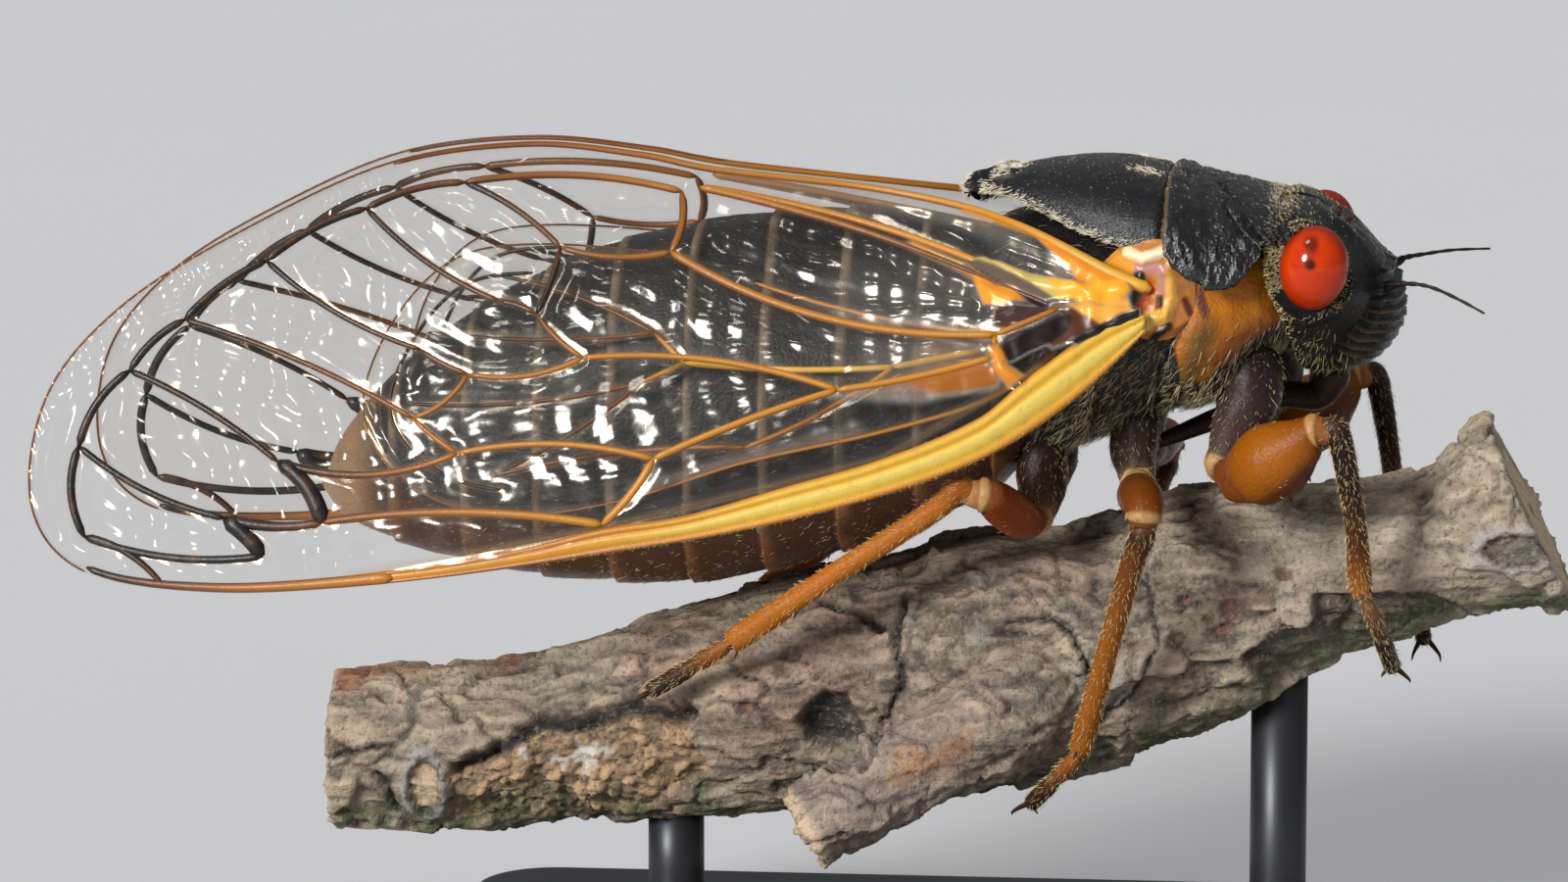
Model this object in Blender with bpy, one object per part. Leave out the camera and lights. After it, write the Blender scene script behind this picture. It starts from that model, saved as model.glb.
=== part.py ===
# A life-size periodical cicada gripping a cut length of twig on a plain display stand.
# The insect faces +X, its right side is towards -Y, and the stand rests on z = 0.
# Sizes and places below are in millimetres, and place() turns them into metres.

import math

import bmesh
import bpy
from mathutils import Vector
from mathutils.bvhtree import BVHTree
from mathutils.geometry import delaunay_2d_cdt

MM = 0.001
GAP = 0.3  # kept between neighbouring pieces

# Wings
WING_THICKNESS = 0.5
WING_ROOF_POWER = 2.2  # how quickly the roof steepens below its ridge
VEIN_HEIGHT = 0.16
VEIN_HALF_WIDTH = 0.22
COSTA_HEIGHT = 0.34
AMBIENT_INSET = 0.95  # from the wing's rim to the dark marginal vein
HINDWING_INSET = 0.98  # from the middle of the forewing to the middle of the hindwing
VEIN_STEP = 1.3
RIM_STEP = 1.2
RIM_MARGIN = 0.12  # veins' edges end this far short of the rim
NET_MERGE = 0.07  # closer points of the net become one

# Body
RING_SIDES = 20
ABDOMEN_SEGMENTS = 9
EYE_RADII = (0.92, 0.88, 1.14)
EYE_CENTRE = (9.55, 4.12, 22.12)

# Stand
BASE_SIZE = (31.0, 18.0, 2.0)
BASE_BEVEL = 0.5
ROD_RADIUS = 0.8
ROD_SIDES = 16
ROD_PLACES = (-8.6, 8.6)

# Each line runs from the wing tips forward to the roots: (x, value)
RIDGE_HEIGHT = [(-27.0, 25.2), (-14.0, 25.15), (-10.0, 24.85), (-7.0, 24.4), (-3.0, 23.95),
                (0.0, 23.5), (1.4, 23.25), (2.6, 22.75), (3.8, 22.2), (5.6, 21.7)]
COSTA_HEIGHT_LINE = [(-27.0, 12.2), (-16.0, 12.6), (-10.0, 13.7), (-5.0, 15.0), (0.0, 16.7),
                     (2.9, 18.4), (5.6, 20.3)]
RIDGE_SPREAD = [(-27.0, 0.7), (-4.0, 0.65), (-2.0, 1.0), (0.0, 1.9), (1.3, 2.85), (2.6, 3.75),
                (3.8, 4.3), (5.6, 4.6)]
COSTA_SPREAD = [(-27.0, 4.9), (-22.0, 5.8), (-16.0, 6.6), (-10.0, 7.0), (-5.0, 6.9), (0.0, 6.3),
                (5.6, 4.9)]

# Rim of each wing in its side view, from the root along the costa, round the tip and back
FOREWING_RIM = [(5.1, 20.5), (2.9, 18.4), (0.0, 16.7), (-4.8, 15.25), (-10.2, 14.2), (-15.7, 13.3),
                (-20.8, 12.8), (-24.6, 13.2), (-26.2, 15.0), (-25.8, 18.1), (-23.7, 20.6),
                (-20.3, 22.7), (-16.5, 24.4), (-12.7, 24.95), (-9.5, 24.7), (-7.2, 24.3),
                (-2.4, 23.8), (1.3, 23.15), (4.2, 21.95), (5.15, 21.6)]
HINDWING_RIM = [(2.6, 20.0), (0.8, 18.7), (-2.2, 17.8), (-6.0, 16.9), (-9.5, 15.7), (-13.0, 15.2),
                (-15.6, 16.1), (-16.9, 18.0), (-16.4, 20.3), (-14.8, 22.3), (-12.4, 22.9),
                (-8.0, 22.7), (-3.5, 22.1), (0.0, 21.7), (2.6, 21.2)]

# Where the forewing's veins meet, in the side view
FORE_JOINTS = {
    "root": (5.0, 21.2),
    "basal": (2.6, 21.0),
    "arculus": (0.9, 20.3),
    "stem": (0.8, 19.7),
    "band": (1.5, 18.9),
    "stem_fork": (-3.4, 18.8),
    "upper_fork": (-10.5, 19.5),
    "upper_bend": (-11.9, 20.6),
    "upper_end": (-13.0, 20.9),
    "cubitus_fork": (-8.3, 22.2),
    "cubitus_bend": (-11.4, 22.3),
    "middle_fork": (-13.7, 19.0),
    "middle_bend": (-15.1, 19.6),
    "lower_fork": (-8.4, 16.9),
    "node": (-9.8, 15.1),
    "lower_split": (-13.9, 16.9),
    "lower_bend": (-15.2, 17.8),
    "dark_upper": (-19.0, 16.5),
    "dark_inner": (-17.7, 14.9),
    "dark_lower": (-20.5, 14.9),
    "dark_end": (-19.4, 13.9),
    "claval_end": (-7.7, 23.8),
    "anal_merge": (-0.5, 22.0),
    "rim_1": (-24.6, 14.2),
    "rim_2": (-24.8, 16.7),
    "rim_3": (-23.4, 18.8),
    "rim_4": (-21.9, 20.2),
    "rim_5": (-19.7, 21.8),
    "rim_6": (-17.0, 23.2),
    "rim_7": (-14.3, 23.9),
    "rim_8": (-8.2, 23.7),
}
# (from, to, sideways bow as a share of the length)
FORE_VEINS = [
    ("root", "basal", 0.0),
    ("basal", "arculus", 0.0),
    ("arculus", "stem", 0.0),
    ("stem", "band", 0.0),
    ("stem", "stem_fork", 0.02),
    ("arculus", "cubitus_fork", 0.07),
    ("cubitus_fork", "rim_8", -0.12),
    ("cubitus_fork", "cubitus_bend", 0.06),
    ("cubitus_bend", "rim_7", -0.05),
    ("upper_bend", "cubitus_bend", -0.05),
    ("stem_fork", "upper_fork", -0.05),
    ("upper_fork", "upper_bend", 0.05),
    ("upper_bend", "upper_end", -0.05),
    ("upper_end", "rim_6", 0.05),
    ("upper_fork", "middle_fork", 0.08),
    ("middle_fork", "middle_bend", 0.04),
    ("middle_bend", "rim_5", 0.05),
    ("middle_fork", "lower_bend", 0.10),
    ("stem_fork", "lower_fork", -0.02),
    ("lower_fork", "node", 0.05),
    ("lower_fork", "lower_split", -0.06),
    ("lower_split", "lower_bend", 0.03),
    ("lower_bend", "rim_4", -0.03),
    ("lower_split", "dark_upper", 0.09),
    ("dark_upper", "rim_3", -0.04),
    ("dark_upper", "dark_inner", 0.12),
    ("node", "dark_inner", -0.04),
    ("dark_inner", "dark_lower", 0.06),
    ("dark_lower", "rim_2", 0.06),
    ("dark_lower", "dark_end", 0.05),
    ("dark_end", "rim_1", 0.06),
    ("basal", "claval_end", -0.02),
    ("root", "anal_merge", -0.05),
]
HIND_JOINTS = {
    "root": (2.2, 20.6),
    "stem": (-2.0, 19.8),
    "fork": (-7.8, 19.8),
    "fork_up": (-8.7, 20.6),
    "fork_down": (-9.0, 19.2),
    "costa_mid": (-6.0, 17.4),
    "rim_low": (-13.4, 16.3),
    "rim_mid": (-15.8, 18.4),
    "rim_up": (-15.2, 20.4),
    "rim_top": (-13.2, 22.0),
    "anal": (-6.0, 22.0),
}
HIND_VEINS = [
    ("root", "stem", 0.0),
    ("stem", "fork", 0.02),
    ("fork", "fork_up", 0.0),
    ("fork", "fork_down", 0.0),
    ("fork_up", "rim_top", -0.04),
    ("fork_up", "rim_up", 0.03),
    ("fork_down", "rim_mid", 0.04),
    ("fork_down", "rim_low", 0.04),
    ("stem", "costa_mid", 0.04),
    ("costa_mid", "rim_low", -0.04),
    ("root", "anal", 0.03),
]

# Half sections of the back plates, from the tail forward: (x, top, lower edge, half width)
MESONOTUM = [(-0.3, 23.9, 23.7, 0.8), (0.4, 24.12, 23.75, 1.45), (1.2, 24.36, 23.66, 2.2),
             (2.2, 24.53, 23.33, 3.05), (3.2, 24.62, 22.95, 3.75), (4.3, 24.6, 22.65, 4.2),
             (5.1, 24.45, 22.6, 4.3)]
PRONOTUM = [(5.45, 24.45, 22.55, 4.95), (6.0, 24.38, 21.95, 5.05), (6.6, 24.2, 21.6, 5.0),
            (7.2, 24.07, 21.65, 4.8), (7.8, 23.93, 22.1, 4.55), (8.35, 23.75, 22.85, 4.3)]
# Sections of the under body: (x, top, bottom, half width, height of the widest place)
PROTHORAX = [(5.45, 22.15, 17.7, 4.2, 20.4), (6.0, 21.5, 17.8, 4.35, 20.3), (6.6, 21.15, 18.0, 4.35, 20.3),
             (7.2, 21.2, 18.4, 4.1, 20.5), (7.8, 21.65, 18.9, 3.6, 20.8), (8.35, 22.4, 19.3, 3.1, 21.0)]
THORAX = [(0.95, 22.55, 15.9, 2.6, 18.8), (2.2, 22.45, 16.3, 3.2, 19.2), (3.6, 22.35, 16.9, 3.8, 19.8),
          (5.15, 22.25, 17.6, 4.0, 20.3)]
CROSS_RIDGE = {"centre": (0.35, 0.0, 24.1), "reach": (0.8, 1.0), "drop": 0.16, "radius": 0.26}
# The abdomen's outline: (x, top, bottom, half width)
ABDOMEN = [(-18.6, 15.5, 14.6, 0.5), (-18.0, 16.6, 14.1, 1.3), (-16.6, 18.3, 13.45, 2.2),
           (-14.0, 20.3, 12.8, 3.2), (-11.0, 21.8, 12.45, 3.95), (-7.5, 22.7, 12.5, 4.35),
           (-4.0, 23.1, 13.3, 4.45), (-1.0, 22.9, 14.5, 4.3), (0.65, 22.4, 15.3, 3.9)]

# The head's outline in the middle plane, from the rear edge over the top to the throat: (x, z)
HEAD_OUTLINE = [(8.65, 23.5), (9.2, 23.6), (9.8, 23.3), (10.5, 22.8), (11.1, 22.4), (11.5, 21.8),
                (11.82, 21.1), (11.84, 20.4), (11.6, 19.8), (11.1, 19.2), (10.3, 18.85), (9.4, 18.6),
                (8.65, 19.0), (8.65, 21.3)]
HEAD_MIDDLE_HEIGHT = 21.9
# How much of the outline is left at each distance from the middle: (y, forwards, upwards, downwards)
HEAD_SECTIONS = [(0.0, 1.0, 1.0, 1.0), (0.8, 0.985, 1.0, 0.985), (1.5, 0.93, 0.99, 0.92),
                 (2.05, 0.82, 0.98, 0.78), (2.7, 0.75, 0.96, 0.64), (3.4, 0.66, 0.9, 0.5),
                 (4.1, 0.5, 0.75, 0.36)]

# Each leg piece on the +Y side as rows of (x, y, z, radius), from the body to the foot
LEGS = {
    "fore": {
        "coxa": [(7.25, 2.45, 17.85, 0.5), (7.15, 2.6, 17.5, 0.66), (7.0, 2.8, 16.9, 0.62),
                 (6.95, 3.05, 16.3, 0.45)],
        "femur": [(7.5, 3.85, 16.0, 0.5), (7.9, 4.1, 16.3, 0.95), (8.55, 4.55, 16.8, 1.12),
                  (9.2, 4.95, 17.3, 0.75), (9.55, 5.15, 17.6, 0.45)],
        "tibia": [(10.2, 5.3, 17.75, 0.28), (10.45, 5.25, 17.1, 0.33), (10.78, 4.85, 15.2, 0.3),
                  (10.92, 4.4, 13.45, 0.33)],
        "tarsus": [(11.0, 4.2, 13.1, 0.24), (11.33, 3.55, 12.2, 0.28), (11.62, 2.85, 11.3, 0.26),
                   (11.8, 2.2, 10.68, 0.28)],
    },
    "mid": {
        "coxa": [(4.6, 2.4, 17.0, 0.55), (4.6, 2.55, 16.7, 0.65), (4.7, 2.9, 16.0, 0.48)],
        "femur": [(4.75, 3.62, 15.75, 0.45), (4.8, 4.3, 15.75, 0.6), (4.95, 5.5, 15.8, 0.6),
                  (5.05, 6.3, 15.85, 0.5)],
        "tibia": [(5.0, 6.3, 14.87, 0.33), (4.75, 6.05, 14.2, 0.36), (4.1, 5.2, 11.8, 0.33),
                  (3.3, 4.1, 8.8, 0.36)],
        "tarsus": [(3.2, 4.0, 8.4, 0.25), (2.7, 3.6, 7.75, 0.29), (2.2, 3.1, 7.15, 0.27),
                   (1.8, 2.65, 6.68, 0.28)],
    },
    "hind": {
        "coxa": [(2.0, 2.2, 16.2, 0.5), (2.0, 2.4, 15.8, 0.6), (1.95, 2.8, 14.95, 0.45)],
        "femur": [(1.7, 3.5, 14.75, 0.42), (1.45, 4.05, 15.0, 0.58), (1.05, 5.0, 15.5, 0.58),
                  (0.78, 5.65, 15.85, 0.48)],
        "tibia": [(-0.12, 5.78, 16.0, 0.3), (-0.8, 5.6, 15.4, 0.32), (-3.4, 5.0, 13.6, 0.32),
                  (-6.2, 4.3, 11.6, 0.36)],
        "tarsus": [(-6.5, 4.2, 11.35, 0.25), (-7.3, 3.95, 10.85, 0.29), (-8.1, 3.7, 10.3, 0.27),
                   (-8.8, 3.55, 9.85, 0.28)],
    },
}
LEG_SIDES = {"coxa": 8, "femur": 10, "tibia": 8, "tarsus": 6}
LEFT_FORE_REACH = 0.8  # the left fore leg is held this much further forward
COXA_SHARE = 0.6  # and its coxa by this share of that
CLAW_LENGTH = 0.6
FEMUR_SPINES = ((8.9, 4.75, 16.35, 0.75), (9.4, 5.05, 16.95, 0.6))  # where each starts, and its length

# Each feeler as rows of (x, distance from the middle, z, radius)
ANTENNAE = {
    "right": [(11.62, 2.0, 21.4, 0.28), (12.2, 2.3, 21.45, 0.26), (12.9, 2.6, 21.35, 0.23),
              (13.6, 2.9, 21.07, 0.18), (14.2, 3.15, 20.78, 0.1)],
    "left": [(11.62, 2.0, 21.5, 0.28), (12.3, 2.4, 21.64, 0.26), (13.3, 2.9, 21.74, 0.2),
             (14.3, 3.3, 21.74, 0.1)],
}
ROSTRUM = [(9.55, 0.0, 17.95, 0.42), (8.6, 0.0, 17.95, 0.38), (7.6, 0.0, 17.6, 0.33),
           (6.4, 0.0, 17.1, 0.3), (5.0, 0.0, 16.5, 0.25)]

# The twig's middle line: (x, height, half width, half height)
TWIG = [(-18.4, 7.3, 2.2, 2.35), (-15.2, 7.35, 2.25, 2.35), (-12.5, 7.65, 2.35, 2.4),
        (-10.0, 8.0, 2.5, 2.6), (-7.6, 8.65, 2.8, 2.95), (-5.0, 9.2, 3.0, 3.2),
        (-2.5, 9.7, 3.15, 3.45), (0.0, 10.15, 3.25, 3.7), (2.4, 10.5, 3.2, 3.5),
        (4.8, 11.2, 3.0, 3.35), (7.0, 12.2, 2.85, 3.2), (9.2, 12.85, 2.75, 2.5),
        (11.2, 13.15, 2.75, 2.25), (13.4, 13.75, 2.6, 2.2), (15.6, 14.8, 2.8, 2.9)]
TWIG_SIDES = 14
TWIG_ROUGHNESS = 0.16
STUB = [(3.0, -0.6, 10.4), (1.2, -2.6, 9.3), (-1.2, -3.7, 8.0), (-3.2, -4.4, 6.9), (-4.5, -4.8, 6.15)]
STUB_RADII = (1.8, 1.6, 1.3, 1.35, 1.2)


# Small helpers


def place(point):
    return Vector(point) * MM


def smooth_value(line, x):
    """The line's value at x, on a smooth curve through its points."""
    if x <= line[0][0]:
        return line[0][1]
    for i in range(len(line) - 1):
        if x <= line[i + 1][0]:
            break
    else:
        return line[-1][1]
    before, start, end, after = line[max(i - 1, 0)], line[i], line[i + 1], line[min(i + 2, len(line) - 1)]
    width = end[0] - start[0]
    t = (x - start[0]) / width
    slope_in = (end[1] - before[1]) / (end[0] - before[0]) * width
    slope_out = (after[1] - start[1]) / (after[0] - start[0]) * width
    return ((2 * t**3 - 3 * t**2 + 1) * start[1] + (t**3 - 2 * t**2 + t) * slope_in
            + (3 * t**2 - 2 * t**3) * end[1] + (t**3 - t**2) * slope_out)


def curve_through(points, step, closed=False):
    """Points about a step apart on a Catmull-Rom curve through the given ones."""
    made = []
    count = len(points)
    for i in range(count if closed else count - 1):
        if closed:
            a, b, c, d = (Vector(points[(i + k) % count]) for k in (-1, 0, 1, 2))
        else:
            a, b, c, d = (Vector(points[min(max(i + k, 0), count - 1)]) for k in (-1, 0, 1, 2))
        pieces = max(1, round((c - b).length / step))
        for k in range(pieces):
            t = k / pieces
            made.append(0.5 * (2 * b + (c - a) * t + (2 * a - 5 * b + 4 * c - d) * t**2
                               + (3 * b - a - 3 * c + d) * t**3))
    if not closed:
        made.append(Vector(points[-1]))
    return made


def make_material(name, colour, roughness, metallic=0.0):
    material = bpy.data.materials.new(name)
    material.use_nodes = True
    shader = material.node_tree.nodes["Principled BSDF"]
    shader.inputs["Base Color"].default_value = (*colour, 1.0)
    shader.inputs["Roughness"].default_value = roughness
    shader.inputs["Metallic"].default_value = metallic
    return material


def add_object(name, mesh_data, material):
    mesh = bpy.data.meshes.new(name)
    bmesh.ops.recalc_face_normals(mesh_data, faces=mesh_data.faces)
    mesh_data.to_mesh(mesh)
    mesh_data.free()
    mesh.materials.append(material)
    mesh.shade_smooth()
    mesh.set_sharp_from_angle(angle=math.radians(40))
    obj = bpy.data.objects.new(name, mesh)
    bpy.context.scene.collection.objects.link(obj)
    return obj


def loft(name, rings, material):
    """A closed solid through rings of points that all have the same count."""
    mesh_data = bmesh.new()
    rows = [[mesh_data.verts.new(place(p)) for p in ring] for ring in rings]
    count = len(rings[0])
    for row, following in zip(rows, rows[1:]):
        for i in range(count):
            j = (i + 1) % count
            mesh_data.faces.new((row[i], row[j], following[j], following[i]))
    mesh_data.faces.new(rows[0])
    mesh_data.faces.new(rows[-1])
    bmesh.ops.triangulate(mesh_data, faces=[f for f in mesh_data.faces if len(f.verts) > 4])
    return add_object(name, mesh_data, material)


def tube_rings(points, radii, sides, flatten=1.0):
    """Rings round a path, with no twist; flatten narrows them sideways."""
    path = [Vector(p) for p in points]
    rings = []
    across = None
    for i, point in enumerate(path):
        along = (path[min(i + 1, len(path) - 1)] - path[max(i - 1, 0)]).normalized()
        if across is None:
            across = along.cross(Vector((0, 0, 1)))
            across = across.normalized() if across.length > 0.1 else Vector((0, 1, 0))
        across = (across - along * across.dot(along)).normalized()
        upward = along.cross(across)
        turns = [2 * math.pi * k / sides for k in range(sides)]
        rings.append([point + across * (radii[i] * flatten * math.cos(a)) + upward * (radii[i] * math.sin(a))
                      for a in turns])
    return rings


def boolean(target, tool_objects, operation, solver="EXACT"):
    """Joins or cuts the target with the tools, applies it and removes the tools."""
    tools = bpy.data.collections.new("tools")
    bpy.context.scene.collection.children.link(tools)
    for obj in tool_objects:
        bpy.context.scene.collection.objects.unlink(obj)
        tools.objects.link(obj)
    modifier = target.modifiers.new("Boolean", "BOOLEAN")
    modifier.operation = operation
    modifier.operand_type = "COLLECTION"
    modifier.collection = tools
    modifier.solver = solver
    bpy.context.view_layer.objects.active = target
    bpy.ops.object.modifier_apply(modifier=modifier.name)
    for obj in tool_objects:
        bpy.data.objects.remove(obj)
    bpy.data.collections.remove(tools)
    keep_largest(target.data)


def keep_largest(mesh):
    """Removes every closed surface but the largest, such as a scrap left by a cut."""
    mesh_data = bmesh.new()
    mesh_data.from_mesh(mesh)
    mesh_data.verts.ensure_lookup_table()
    seen = set()
    islands = []
    for start in mesh_data.verts:
        if start.index in seen:
            continue
        seen.add(start.index)
        island, waiting = [], [start]
        while waiting:
            vert = waiting.pop()
            island.append(vert)
            for edge in vert.link_edges:
                other = edge.other_vert(vert)
                if other.index not in seen:
                    seen.add(other.index)
                    waiting.append(other)
        islands.append(island)
    islands.sort(key=len)
    for island in islands[:-1]:
        bmesh.ops.delete(mesh_data, geom=island, context="VERTS")
    mesh_data.to_mesh(mesh)
    mesh_data.free()


# Wings


def wing_spread(x, z):
    """Distance of the forewing's middle surface from the body's middle plane."""
    ridge, costa = smooth_value(RIDGE_HEIGHT, x), smooth_value(COSTA_HEIGHT_LINE, x)
    share = min(max((ridge - z) / (ridge - costa), 0.0), 1.0)
    inner, outer = smooth_value(RIDGE_SPREAD, x), smooth_value(COSTA_SPREAD, x)
    return inner + (outer - inner) * (1 - (1 - share) ** WING_ROOF_POWER)


def wing_normal(x, z):
    """The outward direction of the wing's surface on the +Y side."""
    reach = 0.2
    slope_x = (wing_spread(x + reach, z) - wing_spread(x - reach, z)) / (2 * reach)
    slope_z = (wing_spread(x, z + reach) - wing_spread(x, z - reach)) / (2 * reach)
    return Vector((-slope_x, 1.0, -slope_z)).normalized()


def bowed(start, end, bow, step):
    """Points from start to end on a shallow arc."""
    start, end = Vector(start), Vector(end)
    along = end - start
    side = Vector((-along.y, along.x)) * bow
    pieces = max(1, round(along.length / step))
    shares = [k / pieces for k in range(pieces + 1)]
    return [start + along * t + side * (4 * t * (1 - t)) for t in shares]


def inset_path(rim, first, last, inset):
    """The stretch of the rim between two of its points, moved inwards."""
    path = []
    for i in range(first, last + 1):
        along = (rim[(i + 1) % len(rim)] - rim[i - 1]).normalized()
        path.append(rim[i] + Vector((along.y, -along.x)) * inset)
    return path


def distance_to(point, path):
    best = 1e9
    for a, b in zip(path, path[1:]):
        along = b - a
        t = min(max((point - a).dot(along) / max(along.length_squared, 1e-9), 0.0), 1.0)
        best = min(best, (point - a - along * t).length)
    return best


def inside(point, rim, margin):
    """True if the point is inside the rim by at least the margin."""
    crossings = False
    for a, b in zip(rim, rim[1:] + rim[:1]):
        if (a.y > point.y) != (b.y > point.y):
            if point.x < (b.x - a.x) * (point.y - a.y) / (b.y - a.y) + a.x:
                crossings = not crossings
    return crossings and distance_to(point, rim + rim[:1]) > margin


def nearest(rim, point):
    return min(range(len(rim)), key=lambda i: (rim[i] - Vector(point)).length)


def wing_net(rim, veins):
    """Triangles over the wing's side view, with an edge along the crest and both feet of each vein."""
    points = list(rim)
    edges = []
    for path, half_width, _ in veins:
        for side in (-1, 0, 1):
            line = []
            for i, point in enumerate(path):
                along = (path[min(i + 1, len(path) - 1)] - path[max(i - 1, 0)]).normalized()
                moved = point + Vector((-along.y, along.x)) * (half_width * side)
                if inside(moved, rim, RIM_MARGIN):
                    line.append(moved)
            edges += [(len(points) + k, len(points) + k + 1) for k in range(len(line) - 1)]
            points += line
    made = delaunay_2d_cdt(points, edges, [list(range(len(rim)))], 1, NET_MERGE)
    return made[0], made[2]


def make_wing(name, side, rim, veins, inset, material):
    """A thin roofed sheet with its veins raised on the outer face."""
    flat, triangles = wing_net(rim, veins)
    mesh_data = bmesh.new()
    outer, inner = [], []
    for point in flat:
        rise = 0.0
        for path, half_width, height in veins:
            rise = max(rise, height * (1 - distance_to(point, path) / half_width))
        x, z = point
        normal = wing_normal(x, z)
        middle = Vector((x, wing_spread(x, z), z)) - normal * inset
        for rows, offset in ((outer, WING_THICKNESS / 2 + rise), (inner, -WING_THICKNESS / 2)):
            spot = middle + normal * offset
            rows.append(mesh_data.verts.new(place((spot.x, spot.y * side, spot.z))))
    counts = {}
    for a, b, c in triangles:
        mesh_data.faces.new((outer[a], outer[b], outer[c]))
        mesh_data.faces.new((inner[c], inner[b], inner[a]))
        for edge in ((a, b), (b, c), (c, a)):
            counts[edge] = counts.get(edge, 0) + 1
    for a, b in counts:
        if (b, a) not in counts:
            mesh_data.faces.new((outer[b], outer[a], inner[a], inner[b]))
    return add_object(name, mesh_data, material)


def forewing_veins(rim):
    """(path, half width, height) of each vein that stands up from the forewing."""
    veins = []
    for start, end, bow in FORE_VEINS:
        path = bowed(FORE_JOINTS[start], FORE_JOINTS[end], bow, VEIN_STEP)
        veins.append((path, VEIN_HALF_WIDTH, VEIN_HEIGHT))
    node = nearest(rim, (-10.2, 14.2))
    tip = nearest(rim, FOREWING_RIM[7])
    tail = nearest(rim, FOREWING_RIM[15])
    root = nearest(rim, FOREWING_RIM[0])
    veins.append((inset_path(rim, root, node, 0.62), 0.48, COSTA_HEIGHT))
    veins.append((inset_path(rim, node, tip, 0.36), 0.22, VEIN_HEIGHT * 1.4))
    veins.append((inset_path(rim, tip - 1, tail - 1, AMBIENT_INSET), VEIN_HALF_WIDTH, VEIN_HEIGHT))
    last = nearest(rim, FOREWING_RIM[18])
    veins.append((inset_path(rim, tail, last, 0.36), VEIN_HALF_WIDTH, VEIN_HEIGHT))
    return veins


def hindwing_veins(rim):
    veins = []
    for start, end, bow in HIND_VEINS:
        path = bowed(HIND_JOINTS[start], HIND_JOINTS[end], bow, VEIN_STEP * 1.3)
        veins.append((path, VEIN_HALF_WIDTH, VEIN_HEIGHT * 0.6))
    low, top = nearest(rim, HINDWING_RIM[5]), nearest(rim, HINDWING_RIM[10])
    veins.append((inset_path(rim, low, top, AMBIENT_INSET), VEIN_HALF_WIDTH, VEIN_HEIGHT * 0.6))
    return veins


def make_wings(material):
    fore_rim = curve_through(FOREWING_RIM, RIM_STEP)
    hind_rim = curve_through(HINDWING_RIM, RIM_STEP * 1.4)
    for label, side in (("left", 1), ("right", -1)):
        make_wing(f"forewing_{label}", side, fore_rim, forewing_veins(fore_rim), 0.0, material)
        make_wing(f"hindwing_{label}", side, hind_rim, hindwing_veins(hind_rim), HINDWING_INSET, material)


# Body


def plate_ring(x, top, edge, half_width):
    """An arched upper section with a flat underside."""
    turns = [math.pi * k / (RING_SIDES - 1) for k in range(RING_SIDES)]
    arch = [(x, half_width * math.copysign(abs(math.cos(a)) ** 0.8, math.cos(a)),
             edge + (top - edge) * math.sin(a) ** 0.9) for a in turns]
    return arch


def under_ring(x, top, bottom, half_width, wide):
    """A section with a flat top and a rounded belly."""
    turns = [math.pi * k / (RING_SIDES - 3) for k in range(RING_SIDES - 2)]
    belly = [(x, half_width * math.copysign(abs(math.cos(a)) ** 0.7, math.cos(a)),
              wide - (wide - bottom) * math.sin(a) ** 0.85) for a in turns]
    return [(x, half_width, top), *belly[1:-1], (x, -half_width, top)]


def make_back_plates(material):
    mesonotum = loft("mesonotum", [plate_ring(*section) for section in MESONOTUM], material)
    add_cross_ridge(mesonotum, material)
    loft("pronotum", [plate_ring(*section) for section in PRONOTUM], material)


def add_cross_ridge(mesonotum, material):
    """The X-shaped swelling at the rear of the middle shield."""
    x, y, z = CROSS_RIDGE["centre"]
    half_length, half_width = CROSS_RIDGE["reach"]
    drop, radius = CROSS_RIDGE["drop"], CROSS_RIDGE["radius"]
    tools = []
    for lean in (-1, 1):
        ends = [(x + along * half_length, y + along * lean * half_width, z - drop) for along in (-1, 1)]
        radii = (radius * 0.7, radius, radius * 0.7)
        tools.append(loft("ridge", tube_rings([ends[0], (x, y, z), ends[1]], radii, 8), material))
    boolean(mesonotum, tools, "UNION")


def make_under_body(material):
    loft("prothorax", [under_ring(*section) for section in PROTHORAX], material)
    loft("thorax", [under_ring(*section) for section in THORAX], material)


def abdomen_ring(x, swell):
    """A round section that stays clear of the hindwings over it."""
    top, bottom, half_width = (smooth_value([(s[0], s[k]) for s in ABDOMEN], x) for k in (1, 2, 3))
    middle, half_height = (top + bottom) / 2, (top - bottom) / 2 * swell
    ring = []
    for k in range(RING_SIDES):
        a = 2 * math.pi * k / RING_SIDES
        y, z = half_width * swell * math.cos(a), middle + half_height * math.sin(a)
        normal = wing_normal(x, z)
        reach = (HINDWING_INSET + WING_THICKNESS / 2 + GAP * 1.4) / normal.y
        limit = max(wing_spread(x, z) - reach, 0.15)
        ring.append((x, math.copysign(min(abs(y), limit), y), z))
    return ring


def make_abdomen(material):
    """Nine rings, each swelling towards its rear edge like overlapping hoops."""
    front, rear = ABDOMEN[-1][0], ABDOMEN[0][0]
    rings = []
    for segment in range(ABDOMEN_SEGMENTS):
        start = front + (rear - front) * segment / ABDOMEN_SEGMENTS
        length = (rear - front) / ABDOMEN_SEGMENTS
        rings.append(abdomen_ring(start, 0.955))
        rings.append(abdomen_ring(start + length * 0.86, 1.0))
    rings.append(abdomen_ring(rear, 0.9))
    loft("abdomen", rings, material)


def head_ring(y, forwards, upwards, downwards):
    """The head's outline at one distance from the middle plane."""
    rear = HEAD_OUTLINE[0][0]
    ring = []
    for x, z in HEAD_OUTLINE:
        share = upwards if z > HEAD_MIDDLE_HEIGHT else downwards
        ring.append((rear + (x - rear) * forwards, y, HEAD_MIDDLE_HEIGHT + (z - HEAD_MIDDLE_HEIGHT) * share))
    return ring


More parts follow.
